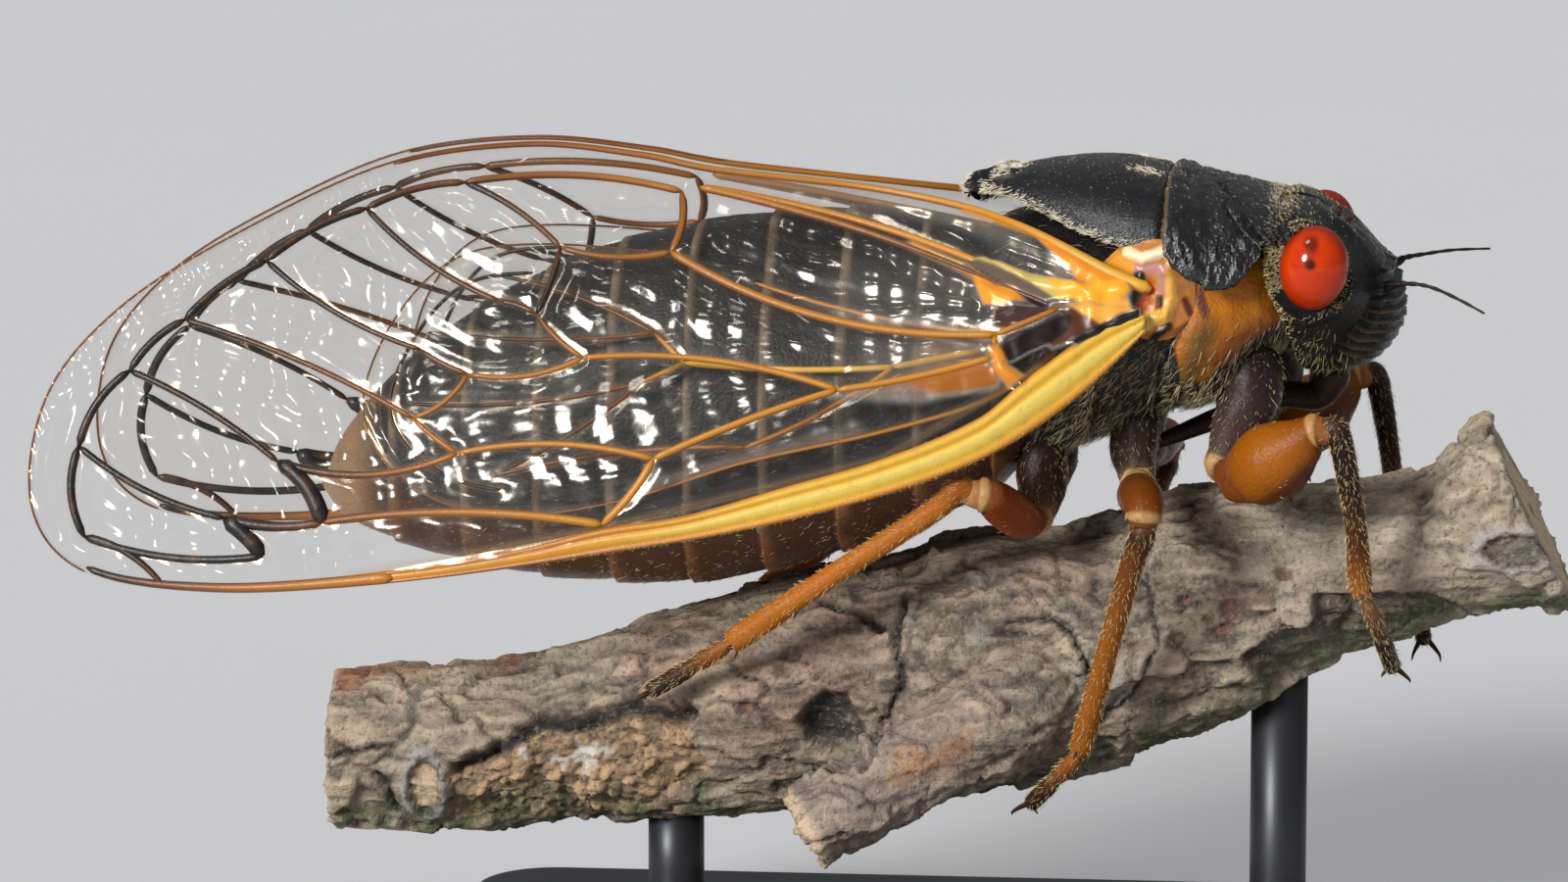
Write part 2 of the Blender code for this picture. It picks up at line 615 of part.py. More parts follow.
def eye_object(name, side, swell, material):
    """An eye, or the socket that it sits in when swollen by the gap."""
    mesh_data = bmesh.new()
    bmesh.ops.create_uvsphere(mesh_data, u_segments=16, v_segments=10, radius=1.0)
    for vert in mesh_data.verts:
        vert.co = place([c * side_sign + v * (r + swell) for c, side_sign, v, r in
                         zip(EYE_CENTRE, (1, side, 1), vert.co, EYE_RADII)])
    return add_object(name, mesh_data, material)


def make_head(head_material, eye_material):
    sections = [(-s[0], *s[1:]) for s in reversed(HEAD_SECTIONS[1:])] + HEAD_SECTIONS
    head = loft("head", [head_ring(*section) for section in sections], head_material)
    sockets = [eye_object(f"socket_{side}", side, GAP, head_material) for side in (1, -1)]
    boolean(head, sockets, "DIFFERENCE")
    for label, side in (("left", 1), ("right", -1)):
        eye_object(f"eye_{label}", side, 0.0, eye_material)
        make_limb(f"antenna_{label}", ANTENNAE[label], side, 0.0, 6, head_material)
    make_limb("rostrum", ROSTRUM, 1, 0.0, 8, head_material)


# Legs


def make_limb(name, rows, side, forward, sides, material):
    """A tapered piece through rows of (x, y, z, radius), put on one side of the body."""
    points = [(x + forward, y * side, z) for x, y, z, _ in rows]
    return loft(name, tube_rings(points, [row[3] for row in rows], sides), material)


def make_leg(pair, label, side, dark, amber):
    reach = LEFT_FORE_REACH if (pair, label) == ("fore", "left") else 0.0
    rows = LEGS[pair]
    name = f"leg_{pair}_{label}"
    make_limb(f"{name}_coxa", rows["coxa"], side, reach * COXA_SHARE, LEG_SIDES["coxa"], dark)
    femur = make_limb(f"{name}_femur", rows["femur"], side, reach, LEG_SIDES["femur"], amber)
    if pair == "fore":
        add_spines(femur, side, reach, amber)
    make_limb(f"{name}_tibia", rows["tibia"], side, reach, LEG_SIDES["tibia"], amber)
    foot = make_limb(f"{name}_tarsus", rows["tarsus"], side, reach, LEG_SIDES["tarsus"], dark)
    add_claws(foot, rows["tarsus"], side, reach, dark)


def add_spines(femur, side, reach, material):
    """Blunt spines under the fore femur."""
    tools = []
    for x, y, z, length in FEMUR_SPINES:
        root = Vector((x + reach, y * side, z))
        tip = root + Vector((0.35, 0, -length - 0.45))
        rings = tube_rings([root, root.lerp(tip, 0.6), tip], (0.4, 0.3, 0.1), 6)
        tools.append(loft("spine", rings, material))
    boolean(femur, tools, "UNION")


def add_claws(foot, rows, side, reach, material):
    """Two hooked claws that curl in under the twig."""
    ankle, toe = (Vector((r[0] + reach, r[1] * side, r[2])) for r in (rows[-2], rows[-1]))
    along = (toe - ankle).normalized()
    inward = Vector((0, -side, 0))
    tools = []
    for spread in (-0.22, 0.22):
        root = toe - along * 0.3 + Vector((spread * 0.4, 0, 0))
        knuckle = toe + along * 0.25 + Vector((spread, 0, 0))
        tip = knuckle + inward * CLAW_LENGTH + along * 0.08
        tools.append(loft("claw", tube_rings([root, knuckle, tip], (0.2, 0.17, 0.08), 5), material))
    boolean(foot, tools, "UNION")


def make_legs(dark, amber):
    for pair in LEGS:
        for label, side in (("left", 1), ("right", -1)):
            make_leg(pair, label, side, dark, amber)


# Perch and stand


def twig_ring(i):
    """A lumpy section of the twig, tilted square to its line."""
    x, height, half_width, half_height = TWIG[i]
    before, after = TWIG[max(i - 1, 0)], TWIG[min(i + 1, len(TWIG) - 1)]
    lean = math.atan2(after[1] - before[1], after[0] - before[0])
    ring = []
    for k in range(TWIG_SIDES):
        a = 2 * math.pi * k / TWIG_SIDES
        lump = 1 + TWIG_ROUGHNESS * 0.35 * (math.sin(3 * a + 1.7 * i) + math.sin(5 * a - 0.9 * i * i))
        up = half_height * lump * math.sin(a)
        ring.append((x - up * math.sin(lean), half_width * lump * math.cos(a), height + up * math.cos(lean)))
    return ring


def make_perch(material):
    perch = loft("perch", [twig_ring(i) for i in range(len(TWIG))], material)
    stub = loft("stub", tube_rings(STUB, STUB_RADII, 10), material)
    boolean(perch, [stub], "UNION")
    return perch


def rod_top(perch, x):
    """The height at which a rod's flat head stops just short of the perch."""
    mesh_data = bmesh.new()
    mesh_data.from_mesh(perch.data)
    surface = BVHTree.FromBMesh(mesh_data)
    mesh_data.free()
    heights = []
    for k in range(ROD_SIDES):
        turn = 2 * math.pi * k / ROD_SIDES
        foot = place((x + ROD_RADIUS * math.cos(turn), ROD_RADIUS * math.sin(turn), BASE_SIZE[2]))
        heights.append(surface.ray_cast(foot, Vector((0, 0, 1)))[0].z / MM)
    return min(heights) - GAP


def make_stand(material, perch):
    mesh_data = bmesh.new()
    bmesh.ops.create_cube(mesh_data, size=1.0)
    for vert in mesh_data.verts:
        vert.co = place([v * s for v, s in zip(vert.co, BASE_SIZE)]) + place((0, 0, BASE_SIZE[2] / 2))
    uprights = [e for e in mesh_data.edges if abs(e.verts[0].co.z - e.verts[1].co.z) > MM]
    bmesh.ops.bevel(mesh_data, geom=uprights, offset=2.5 * MM, segments=4, affect="EDGES", profile=0.5)
    rim = [e for e in mesh_data.edges if min(v.co.z for v in e.verts) > (BASE_SIZE[2] - 0.01) * MM]
    bmesh.ops.bevel(mesh_data, geom=rim, offset=BASE_BEVEL * MM, segments=2, affect="EDGES", profile=0.5)
    add_object("stand_base", mesh_data, material)
    for label, x in zip(("rear", "front"), ROD_PLACES):
        path = [(x, 0, BASE_SIZE[2] + GAP), (x, 0, rod_top(perch, x))]
        loft(f"stand_rod_{label}", tube_rings(path, (ROD_RADIUS,) * 2, ROD_SIDES), material)


def build():
    for obj in list(bpy.data.objects):
        bpy.data.objects.remove(obj)
    black = make_material("black_shell", (0.012, 0.012, 0.014), 0.3)
    amber = make_material("amber_shell", (0.55, 0.2, 0.03), 0.35)
    red = make_material("red_eye", (0.75, 0.08, 0.01), 0.12)
    membrane = make_material("wing_membrane", (0.75, 0.42, 0.12), 0.2)
    bark = make_material("twig_bark", (0.24, 0.2, 0.17), 0.85)
    plate = make_material("stand_plate", (0.05, 0.05, 0.055), 0.4)
    make_wings(membrane)
    make_back_plates(black)
    make_under_body(black)
    make_abdomen(black)
    make_head(black, red)
    make_legs(black, amber)
    perch = make_perch(bark)
    make_stand(plate, perch)


build()
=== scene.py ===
import math

import bpy
import numpy as np
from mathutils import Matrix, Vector


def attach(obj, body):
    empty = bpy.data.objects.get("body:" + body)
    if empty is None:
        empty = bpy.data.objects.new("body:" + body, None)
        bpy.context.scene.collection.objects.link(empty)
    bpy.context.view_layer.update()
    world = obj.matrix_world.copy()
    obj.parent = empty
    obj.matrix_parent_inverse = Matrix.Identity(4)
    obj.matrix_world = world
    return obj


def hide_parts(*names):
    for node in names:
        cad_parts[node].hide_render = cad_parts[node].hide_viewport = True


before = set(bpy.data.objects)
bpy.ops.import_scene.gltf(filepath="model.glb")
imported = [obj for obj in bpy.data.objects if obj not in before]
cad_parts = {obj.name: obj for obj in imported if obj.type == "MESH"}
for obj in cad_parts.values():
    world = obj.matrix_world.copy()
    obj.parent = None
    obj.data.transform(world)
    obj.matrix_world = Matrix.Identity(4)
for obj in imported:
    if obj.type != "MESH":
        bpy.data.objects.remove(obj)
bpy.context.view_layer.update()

mm = 0.001  # every measure below is in millimetres
sidesOfBody = (("Right", -1, "right"), ("Left", 1, "left"))


# Number helpers

def lineValue(line, x):  # the value at x on a smooth line through (x, value) points
    xs, ys = np.array(line, float).T
    slopes = np.empty_like(ys)
    slopes[1:-1] = (ys[2:] - ys[:-2]) / (xs[2:] - xs[:-2])
    slopes[0] = (ys[1] - ys[0]) / (xs[1] - xs[0])
    slopes[-1] = (ys[-1] - ys[-2]) / (xs[-1] - xs[-2])
    i = np.clip(np.searchsorted(xs, x) - 1, 0, len(xs) - 2)
    width = xs[i + 1] - xs[i]
    t = np.clip((x - xs[i]) / width, 0, 1)
    start = (2 * t**3 - 3 * t**2 + 1) * ys[i] + (t**3 - 2 * t**2 + t) * width * slopes[i]
    return start + (3 * t**2 - 2 * t**3) * ys[i + 1] + (t**3 - t**2) * width * slopes[i + 1]


def curveThrough(points, perPiece, closed=False):
    pts = np.array(points, float)
    count = len(pts)
    t = np.linspace(0, 1, perPiece, endpoint=False)[:, None]
    made = []
    for i in range(count if closed else count - 1):
        spots = [(i + k) % count if closed else min(max(i + k, 0), count - 1) for k in (-1, 0, 1, 2)]
        a, b, c, d = pts[spots]
        made.append(0.5 * (2 * b + (c - a) * t + (2 * a - 5 * b + 4 * c - d) * t**2
                           + (3 * b - a - 3 * c + d) * t**3))
    if not closed:
        made.append(pts[-1:])
    return np.concatenate(made)


def evenly(path, step):  # the same path with its points a step apart
    lengths = np.concatenate([[0], np.cumsum(np.linalg.norm(np.diff(path, axis=0), axis=1))])
    spots = np.linspace(0, lengths[-1], max(3, int(lengths[-1] / step) + 1))
    return np.stack([np.interp(spots, lengths, path[:, k]) for k in range(path.shape[1])], axis=1)


def ease(low, high, value):  # 0 at low, 1 at high, smooth between
    t = np.clip((value - low) / (high - low), 0, 1)
    return t * t * (3 - 2 * t)


def bell(value, reach):  # 1 at nought, close to 0 beyond twice the reach
    return np.exp(-(value / reach) ** 2)


def hashed(spot, seed):
    key = spot[:, 0] * 73856093 ^ spot[:, 1] * 19349663 ^ spot[:, 2] * 83492791 ^ (seed * 6971 + 12345)
    key = (key ^ (key >> 13)) * 1274126177 & 0xFFFFFFFF
    key = (key ^ (key >> 11)) * 668265263 & 0xFFFFFFFF
    return ((key ^ (key >> 15)) & 0xFFFF) / 65535.0


def cloud(points, size, octaves=3, seed=0):  # soft noise from about -1 to 1
    total, weight, reach = np.zeros(len(points)), 1.0, 0.0
    for k in range(octaves):
        scaled = points / size + 31.7 * (k + 1)
        base = np.floor(scaled).astype(np.int64)
        part = scaled - base
        part = part * part * (3 - 2 * part)
        layer = np.zeros(len(points))
        for corner in np.ndindex(2, 2, 2):
            share = np.prod(np.where(corner, part, 1 - part), axis=1)
            layer += share * (hashed(base + np.array(corner), seed + k) * 2 - 1)
        total += weight * layer
        reach += weight
        weight, size = weight * 0.5, size / 2.07
    return total / reach


def cells(points, size, seed=0):  # distance to the border of the nearest of many cells, and its own number
    scaled = points / size
    base = np.floor(scaled).astype(np.int64)
    best, second, tag = np.full(len(points), 9.0), np.full(len(points), 9.0), np.zeros(len(points))
    for corner in np.ndindex(3, 3, 3):
        spot = base + np.array(corner) - 1
        jitter = np.stack([hashed(spot, seed + k) for k in (1, 2, 3)], axis=1)
        away = np.linalg.norm(scaled - spot - jitter, axis=1)
        nearer = away < best
        second = np.where(nearer, best, np.minimum(second, away))
        tag = np.where(nearer, hashed(spot, seed + 9), tag)
        best = np.minimum(best, away)
    return second - best, tag


def toPath(points, path):  # distance of each 2-D point from a polyline
    best = np.full(len(points), 1e9)
    path = np.array(path, float)
    for a, b in zip(path, path[1:]):
        along = b - a
        t = np.clip((points - a) @ along / max(along @ along, 1e-12), 0, 1)
        best = np.minimum(best, np.linalg.norm(points - a - t[:, None] * along, axis=1))
    return best


def unit(vectors):
    return vectors / np.maximum(np.linalg.norm(vectors, axis=-1, keepdims=True), 1e-12)


# Mesh helpers

class Form:  # points with quads and triangles, and named values for each point
    def __init__(self, points, quads=(), tris=(), **tags):
        self.points = np.array(points, float).reshape(-1, 3)
        self.quads = np.array(quads, int).reshape(-1, 4)
        self.tris = np.array(tris, int).reshape(-1, 3)
        self.tags = {key: np.array(value, float) for key, value in tags.items()}

    def triangles(self):
        return np.concatenate([self.quads[:, :3], self.quads[:, [0, 2, 3]], self.tris])

    def normals(self):
        total, faces = np.zeros_like(self.points), self.triangles()
        corners = self.points[faces]
        facing = np.cross(corners[:, 1] - corners[:, 0], corners[:, 2] - corners[:, 0])
        for k in range(3):
            np.add.at(total, faces[:, k], facing)
        return unit(total)

    def push(self, amount):  # moves each point along its normal
        self.points = self.points + self.normals() * np.asarray(amount)[:, None]
        return self

    def only(self, *keys):  # the same form with no more than these values
        return Form(self.points, self.quads, self.tris, **{key: self.tags[key] for key in keys})

    def mirrored(self):
        tags = {key: value.copy() for key, value in self.tags.items()}
        return Form(self.points * (1, -1, 1), self.quads[:, ::-1], self.tris[:, ::-1], **tags)


def merged(forms):
    points, quads, tris, start = [], [], [], 0
    for form in forms:
        points.append(form.points)
        quads.append(form.quads + start)
        tris.append(form.tris + start)
        start += len(form.points)
    tags = {key: np.concatenate([form.tags[key] for form in forms]) for key in forms[0].tags}
    return Form(np.concatenate(points), np.concatenate(quads), np.concatenate(tris), **tags)


def fromRings(rings):  # rings: (count, around, 3); its ends close to a point
    rings = np.array(rings, float)
    count, around = rings.shape[:2]
    index = np.arange(count * around).reshape(count, around)
    turned = np.roll(index, -1, axis=1)
    quads = np.stack([index[:-1], turned[:-1], turned[1:], index[1:]], axis=-1).reshape(-1, 4)
    points = np.concatenate([rings.reshape(-1, 3), rings[:1].mean(1), rings[-1:].mean(1)])
    first, last = count * around, count * around + 1
    tris = np.concatenate([
        np.stack([np.full(around, first), turned[0], index[0]], axis=1),
        np.stack([np.full(around, last), index[-1], turned[-1]], axis=1)])
    along = np.append(np.repeat(np.linspace(0, 1, count), around), [0, 1])
    turn = np.append(np.tile(np.linspace(0, 1, around, endpoint=False), count), [0, 0])
    form = Form(points, quads, tris, along=along, turn=turn)
    middle = form.points.mean(0)
    if np.sum(form.normals() * (form.points - middle)) < 0:
        form.quads, form.tris = form.quads[:, ::-1], form.tris[:, ::-1]
    return form


def tube(path, radii, sides, roundEnds=True):  # a round rod along a path
    path = np.array(path, float)
    radii = np.broadcast_to(np.array(radii, float), (len(path),)).copy()
    if roundEnds:
        turns = np.radians([78, 55, 30])
        first, last = unit(path[0] - path[1]), unit(path[-1] - path[-2])
        head = [path[0] + first * radii[0] * math.sin(a) for a in turns]
        tail = [path[-1] + last * radii[-1] * math.sin(a) for a in turns[::-1]]
        shrink = np.cos(turns)
        path = np.concatenate([head, path, tail])
        radii = np.concatenate([radii[0] * shrink, radii, radii[-1] * shrink[::-1]])
    along = unit(np.gradient(path, axis=0))
    across = np.cross(along[0], (0, 0, 1))
    across = unit(across if np.linalg.norm(across) > 0.05 else np.array([0.0, 1.0, 0.0]))
    turn = np.linspace(0, 2 * math.pi, sides, endpoint=False)
    rings = []
    for k, direction in enumerate(along):
        across = unit(across - direction * (across @ direction))
        upward = np.cross(direction, across)
        rings.append(path[k] + radii[k] * (np.cos(turn)[:, None] * across + np.sin(turn)[:, None] * upward))
    return fromRings(rings)


def makePiece(name, form, finish, nodes):  # the form as an object that replaces its nodes
    mesh = bpy.data.meshes.new(name)
    mesh.from_pydata((form.points * mm).tolist(), [], form.quads.tolist() + form.tris.tolist())
    mesh.shade_smooth()
    tags = form.tags
    if "tint" in tags:
        mesh.attributes.new("tint", "FLOAT_COLOR", "POINT").data.foreach_set("color", tags["tint"].ravel())
    if "opaque" in tags:
        mesh.attributes.new("opaque", "FLOAT", "POINT").data.foreach_set("value", tags["opaque"])
    if "uv" in tags:
        corners = np.zeros(len(mesh.loops), int)
        mesh.loops.foreach_get("vertex_index", corners)
        mesh.uv_layers.new(name="OFBake").data.foreach_set("uv", tags["uv"][corners].ravel())
    mesh.materials.append(finish)
    piece = bpy.data.objects.new(name, mesh)
    bpy.context.scene.collection.objects.link(piece)
    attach(piece, "root")
    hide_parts(*nodes)
    return piece


# Painting helpers

def painted(form, colour):
    form.tags["tint"] = np.tile([*colour, 1.0], (len(form.points), 1))
    return form


def blend(form, weight, colour):  # paints a colour onto the form's points
    tint = form.tags["tint"]
    tint[:, :3] += (np.array(colour) - tint[:, :3]) * np.clip(weight, 0, 1)[:, None]


def sideView(form, rough=0.05):  # each point's place in the side view, with a slightly ragged edge
    ragged = np.stack([cloud(form.points, 0.35, 2, 3), cloud(form.points, 0.35, 2, 7)], axis=1)
    return form.points[:, [0, 2]] + rough * ragged


def streak(flat, path, half, soft):  # 1 on a stretch along the path, 0 away from it
    return 1 - ease(half - soft, half + soft, toPath(flat, path))


def region(flat, outline, soft):  # 1 inside the outline, 0 outside
    away = toPath(flat, outline + outline[:1])
    inside = np.zeros(len(flat), bool)
    for (ax, az), (bx, bz) in zip(outline, outline[1:] + outline[:1]):
        crosses = (az > flat[:, 1]) != (bz > flat[:, 1])
        inside ^= crosses & (flat[:, 0] < ax + (bx - ax) * (flat[:, 1] - az) / (bz - az + 1e-9))
    return ease(-soft, soft, np.where(inside, away, -away))


# Material helpers

class Wire:  # an output socket that can be used in sums
    def __init__(self, sheet, socket):
        self.sheet, self.socket = sheet, socket

    def maths(self, operation, first, second):
        return self.sheet.node("ShaderNodeMath", {"operation": operation}, {0: first, 1: second})

    def __add__(self, other):
        return self.maths("ADD", self, other)

    def __sub__(self, other):
        return self.maths("SUBTRACT", self, other)

    def __rsub__(self, other):
        return self.maths("SUBTRACT", other, self)

    def __mul__(self, other):
        return self.maths("MULTIPLY", self, other)

    def __pow__(self, other):
        return self.maths("POWER", self, other)

    def __abs__(self):
        return self.maths("ABSOLUTE", self, 0.0)

    __radd__ = __add__
    __rmul__ = __mul__

    def above(self, low, high):  # 0 at low, 1 at high, smooth between
        return self.sheet.node("ShaderNodeMapRange", {"interpolation_type": "SMOOTHSTEP"},
                               {0: self, 1: low, 2: high, 3: 0.0, 4: 1.0})


class Finish:  # one material and its nodes
    def __init__(self, name):
        self.material = bpy.data.materials.new(name)
        self.material.use_nodes = True
        self.tree = self.material.node_tree
        self.tree.nodes.clear()
        self.spot = self.node("ShaderNodeVectorMath", {"operation": "SCALE"},
                              {0: self.node("ShaderNodeTexCoord", {}, {}, "Object"), 3: 1 / mm})
        parts = self.node("ShaderNodeSeparateXYZ", {}, {0: self.spot}, None)
        self.x, self.y, self.z = (Wire(self, parts.outputs[k]) for k in range(3))

    def node(self, kind, settings, inputs, out=0):
        made = self.tree.nodes.new(kind)
        for key, value in settings.items():
            setattr(made, key, value)
        for key, value in inputs.items():
            if isinstance(value, Wire):
                self.tree.links.new(value.socket, made.inputs[key])
            elif isinstance(value, tuple) and len(value) == 3 and made.inputs[key].type == "RGBA":
                made.inputs[key].default_value = (*value, 1.0)
            else:
                made.inputs[key].default_value = value
        return made if out is None else Wire(self, made.outputs[out])

    def noise(self, size, detail=3.0, stretch=None, rough=0.55):  # size of its lumps in millimetres
        spot = self.spot
        if stretch:
            spot = self.node("ShaderNodeVectorMath", {"operation": "MULTIPLY"}, {0: spot, 1: stretch})
        return self.node("ShaderNodeTexNoise", {},
                         {"Vector": spot, "Scale": 1 / size, "Detail": detail, "Roughness": rough})

    def mix(self, share, first, second):
        return self.node("ShaderNodeMix", {"data_type": "RGBA"}, {0: share, 6: first, 7: second}, 2)

    def tag(self, name, out="Color"):
        return self.node("ShaderNodeAttribute", {"attribute_name": name}, {}, out)

    def bump(self, height, depth, strength=1.0, under=None):  # depth in millimetres
        inputs = {"Height": height, "Distance": depth * mm, "Strength": strength}
        if under:
            inputs["Normal"] = under
        return self.node("ShaderNodeBump", {}, inputs)

    def skin(self, **values):
        inputs = {key.replace("_", " "): value for key, value in values.items()}
        return self.node("ShaderNodeBsdfPrincipled", {}, inputs)

    def done(self, shader):
        self.node("ShaderNodeOutputMaterial", {}, {0: shader}, None)
        return self.material


# Hair

hairShape = {
    "stray": 0.3,  # how far a hair leans off the way of its neighbours
    "sink": 0.02,
    "rings": [(0.0, 1.0), (0.45, 0.8), (0.8, 0.45)],  # share of the length, share of the width
    "mapPatch": 0.0014,  # half the size of a hair's patch on the bake map
}


def sampled(form, density, count, random):  # random places on a form: points, normals, unwrap places
    faces = form.triangles()
    corners = form.points[faces]
    area = np.linalg.norm(np.cross(corners[:, 1] - corners[:, 0], corners[:, 2] - corners[:, 0]), axis=1)
    weight = area * np.clip(density(corners.mean(1)), 0, None)
    chosen = random.choice(len(faces), count, p=weight / weight.sum())
    a, b = random.random((2, count, 1))
    a, b = np.where(a + b > 1, 1 - a, a), np.where(a + b > 1, 1 - b, b)
    shares = np.stack([1 - a - b, a, b], axis=1)
    points = (corners[chosen] * shares).sum(1)
    normals = unit((form.normals()[faces[chosen]] * shares).sum(1))
    first = faces[chosen, 0]
    return points, normals, np.stack([form.tags["turn"][first], form.tags["along"][first]], axis=1)


def hairs(form, density, count, seed, lie, lengths, widths, rise, colours):
    # thin tapered spikes: lie is the way they lean, rise how far they stand off the surface
    random = np.random.default_rng(seed)
    roots, normals, places = sampled(form, density, count, random)
    lean = np.array(lie, float) + hairShape["stray"] * random.normal(size=roots.shape)
    lean = unit(lean - normals * np.sum(lean * normals, axis=1, keepdims=True))
    stand = rise * (0.6 + 0.8 * random.random((count, 1)))
    start = unit(lean * (1 - stand) + normals * stand)
    finish = unit(lean * (1 - stand * 0.5) + normals * stand * 0.5)
    length = lengths[0] + (lengths[1] - lengths[0]) * random.random((count, 1)) ** 1.5
    width = widths[0] + (widths[1] - widths[0]) * random.random((count, 1))
    across = unit(np.cross(start, normals + 0.01))
    over = np.cross(start, across)
    foot = roots - normals * hairShape["sink"]
    rings = []
    for step, thick in hairShape["rings"]:
        middle = foot + length * (start * step + (finish - start) * step**2 / 2)
        rings += [middle + width * thick * (across * math.cos(turn) + over * math.sin(turn))
                  for turn in (0.5, 0.5 + 2 * math.pi / 3, 0.5 + 4 * math.pi / 3)]
    rings.append(foot + length * (start + finish) / 2)
    points = np.stack(rings, axis=1)
    base = np.arange(count)[:, None, None] * 10
    sides = [(k, (k + 1) % 3) for k in range(3)]
    quads = [(ring + a, ring + b, ring + 3 + b, ring + 3 + a) for ring in (0, 3) for a, b in sides]
    tips = [(6 + a, 6 + b, 9) for a, b in sides]
    shade = np.array(colours)[random.integers(len(colours), size=count)]
    shade = shade * (0.75 + 0.5 * random.random((count, 1)))
    tint = np.repeat(np.concatenate([shade, np.ones((count, 1))], axis=1), 10, axis=0)
    corners = np.array([(k % 3 - 1, k / 4.5 - 1) for k in range(10)]) * hairShape["mapPatch"]
    patch = np.tile(corners, (count, 1))
    uv = np.clip(np.repeat(places, 10, axis=0), 0.0015, 0.9985) + patch
    return Form(points, (base + np.array(quads)).reshape(-1, 4), (base + np.array(tips)).reshape(-1, 3),
                tint=tint, uv=uv)


def hairFinish(name, roughness=0.35):
    f = Finish(name)
    colour = f.mix(f.noise(0.5, 2.0) * 0.5, f.tag("tint"), (0.3, 0.24, 0.14))
    return f.done(f.skin(Base_Color=colour, Roughness=roughness + f.noise(0.1) * 0.1))


# Wings

wingShape = {  # each line runs from the wing tips forward to the roots: (x, value)
    "ridgeHeight": [(-27.0, 25.2), (-14.0, 25.15), (-10.0, 24.85), (-7.0, 24.4), (-3.0, 23.95),
                    (0.0, 23.5), (1.4, 23.25), (2.6, 22.75), (3.8, 22.2), (5.6, 21.7)],
    "costaHeight": [(-27.0, 12.2), (-16.0, 12.6), (-10.0, 13.7), (-5.0, 15.0), (0.0, 16.7),
                    (2.9, 18.4), (5.6, 20.3)],
    "ridgeSpread": [(-27.0, 0.7), (-4.0, 0.65), (-2.0, 1.0), (0.0, 1.9), (1.3, 2.85), (2.6, 3.75),
                    (3.8, 4.3), (5.6, 4.6)],
    "costaSpread": [(-27.0, 4.9), (-22.0, 5.8), (-16.0, 6.6), (-10.0, 7.0), (-5.0, 6.9), (0.0, 6.3),
                    (5.6, 4.9)],
    "roofPower": 2.2,
    "root": (5.0, 21.0),
    "foreRim": [(5.1, 20.5), (2.9, 18.4), (0.0, 16.7), (-4.8, 15.25), (-10.2, 14.2), (-15.7, 13.3),
                (-20.8, 12.8), (-24.6, 13.2), (-26.2, 15.0), (-25.8, 18.1), (-23.7, 20.6),
                (-20.3, 22.7), (-16.5, 24.4), (-12.7, 24.95), (-9.5, 24.7), (-7.2, 24.3),
                (-2.4, 23.8), (1.3, 23.15), (4.2, 21.95), (5.15, 21.6)],
    "hindRim": [(2.6, 20.0), (0.8, 18.7), (-2.2, 17.8), (-6.0, 16.9), (-9.5, 15.7), (-13.0, 15.2),
                (-15.6, 16.1), (-16.9, 18.0), (-16.4, 20.3), (-14.8, 22.3), (-12.4, 22.9),
                (-8.0, 22.7), (-3.5, 22.1), (0.0, 21.7), (2.6, 21.2)],
    "hindInset": 0.98,
    "wave": 0.64,  # from one cross fold of the membrane to the next, near the root
    "foldDepth": 0.045,
    "dome": 0.13,
    "domeReach": 0.9,
    "rowSpacing": 0.8,  # from one row of small dents to the next, away from a vein
    "rowDepth": 0.021,
    "filmColour": (0.82, 0.8, 0.76),
    "besideVein": (0.5, 0.28, 0.1),
}
# colours of a vein from its root to the wing's edge: yellow, orange, brown, black
veinTones = [(0.7, 0.46, 0.045), (0.5, 0.2, 0.012), (0.22, 0.07, 0.01), (0.012, 0.01, 0.01)]
strawTone = (0.58, 0.48, 0.13)  # the dull stripe along the leading edge

foreJoints = {
    "root": (5.0, 21.2), "basal": (2.6, 21.0), "arculus": (0.9, 20.3), "stem": (0.8, 19.7),
    "stemFork": (-3.4, 18.8), "upperFork": (-10.5, 19.5), "upperBend": (-11.9, 20.6),
    "upperEnd": (-13.0, 20.9), "cubitusFork": (-8.3, 22.2),
    "cubitusBend": (-11.4, 22.3), "middleFork": (-13.7, 19.0), "middleBend": (-15.1, 19.6),
    "lowerFork": (-8.4, 16.9), "node": (-9.8, 15.1), "lowerSplit": (-13.9, 16.9),
    "lowerBend": (-15.2, 17.8), "darkUpper": (-19.0, 16.5), "darkInner": (-17.7, 14.9),
    "darkLower": (-20.5, 14.9), "darkEnd": (-19.4, 13.9), "clavalEnd": (-7.7, 23.8),
    "analMerge": (0.3, 22.08),
    "rim0": (-22.3, 12.95), "rim1": (-24.6, 14.2), "rim2": (-24.8, 16.7), "rim3": (-23.4, 18.8),
    "rim4": (-21.9, 20.2), "rim5": (-19.7, 21.8), "rim6": (-17.0, 23.2), "rim7": (-14.3, 23.9),
    "rim8": (-8.2, 23.7),
}
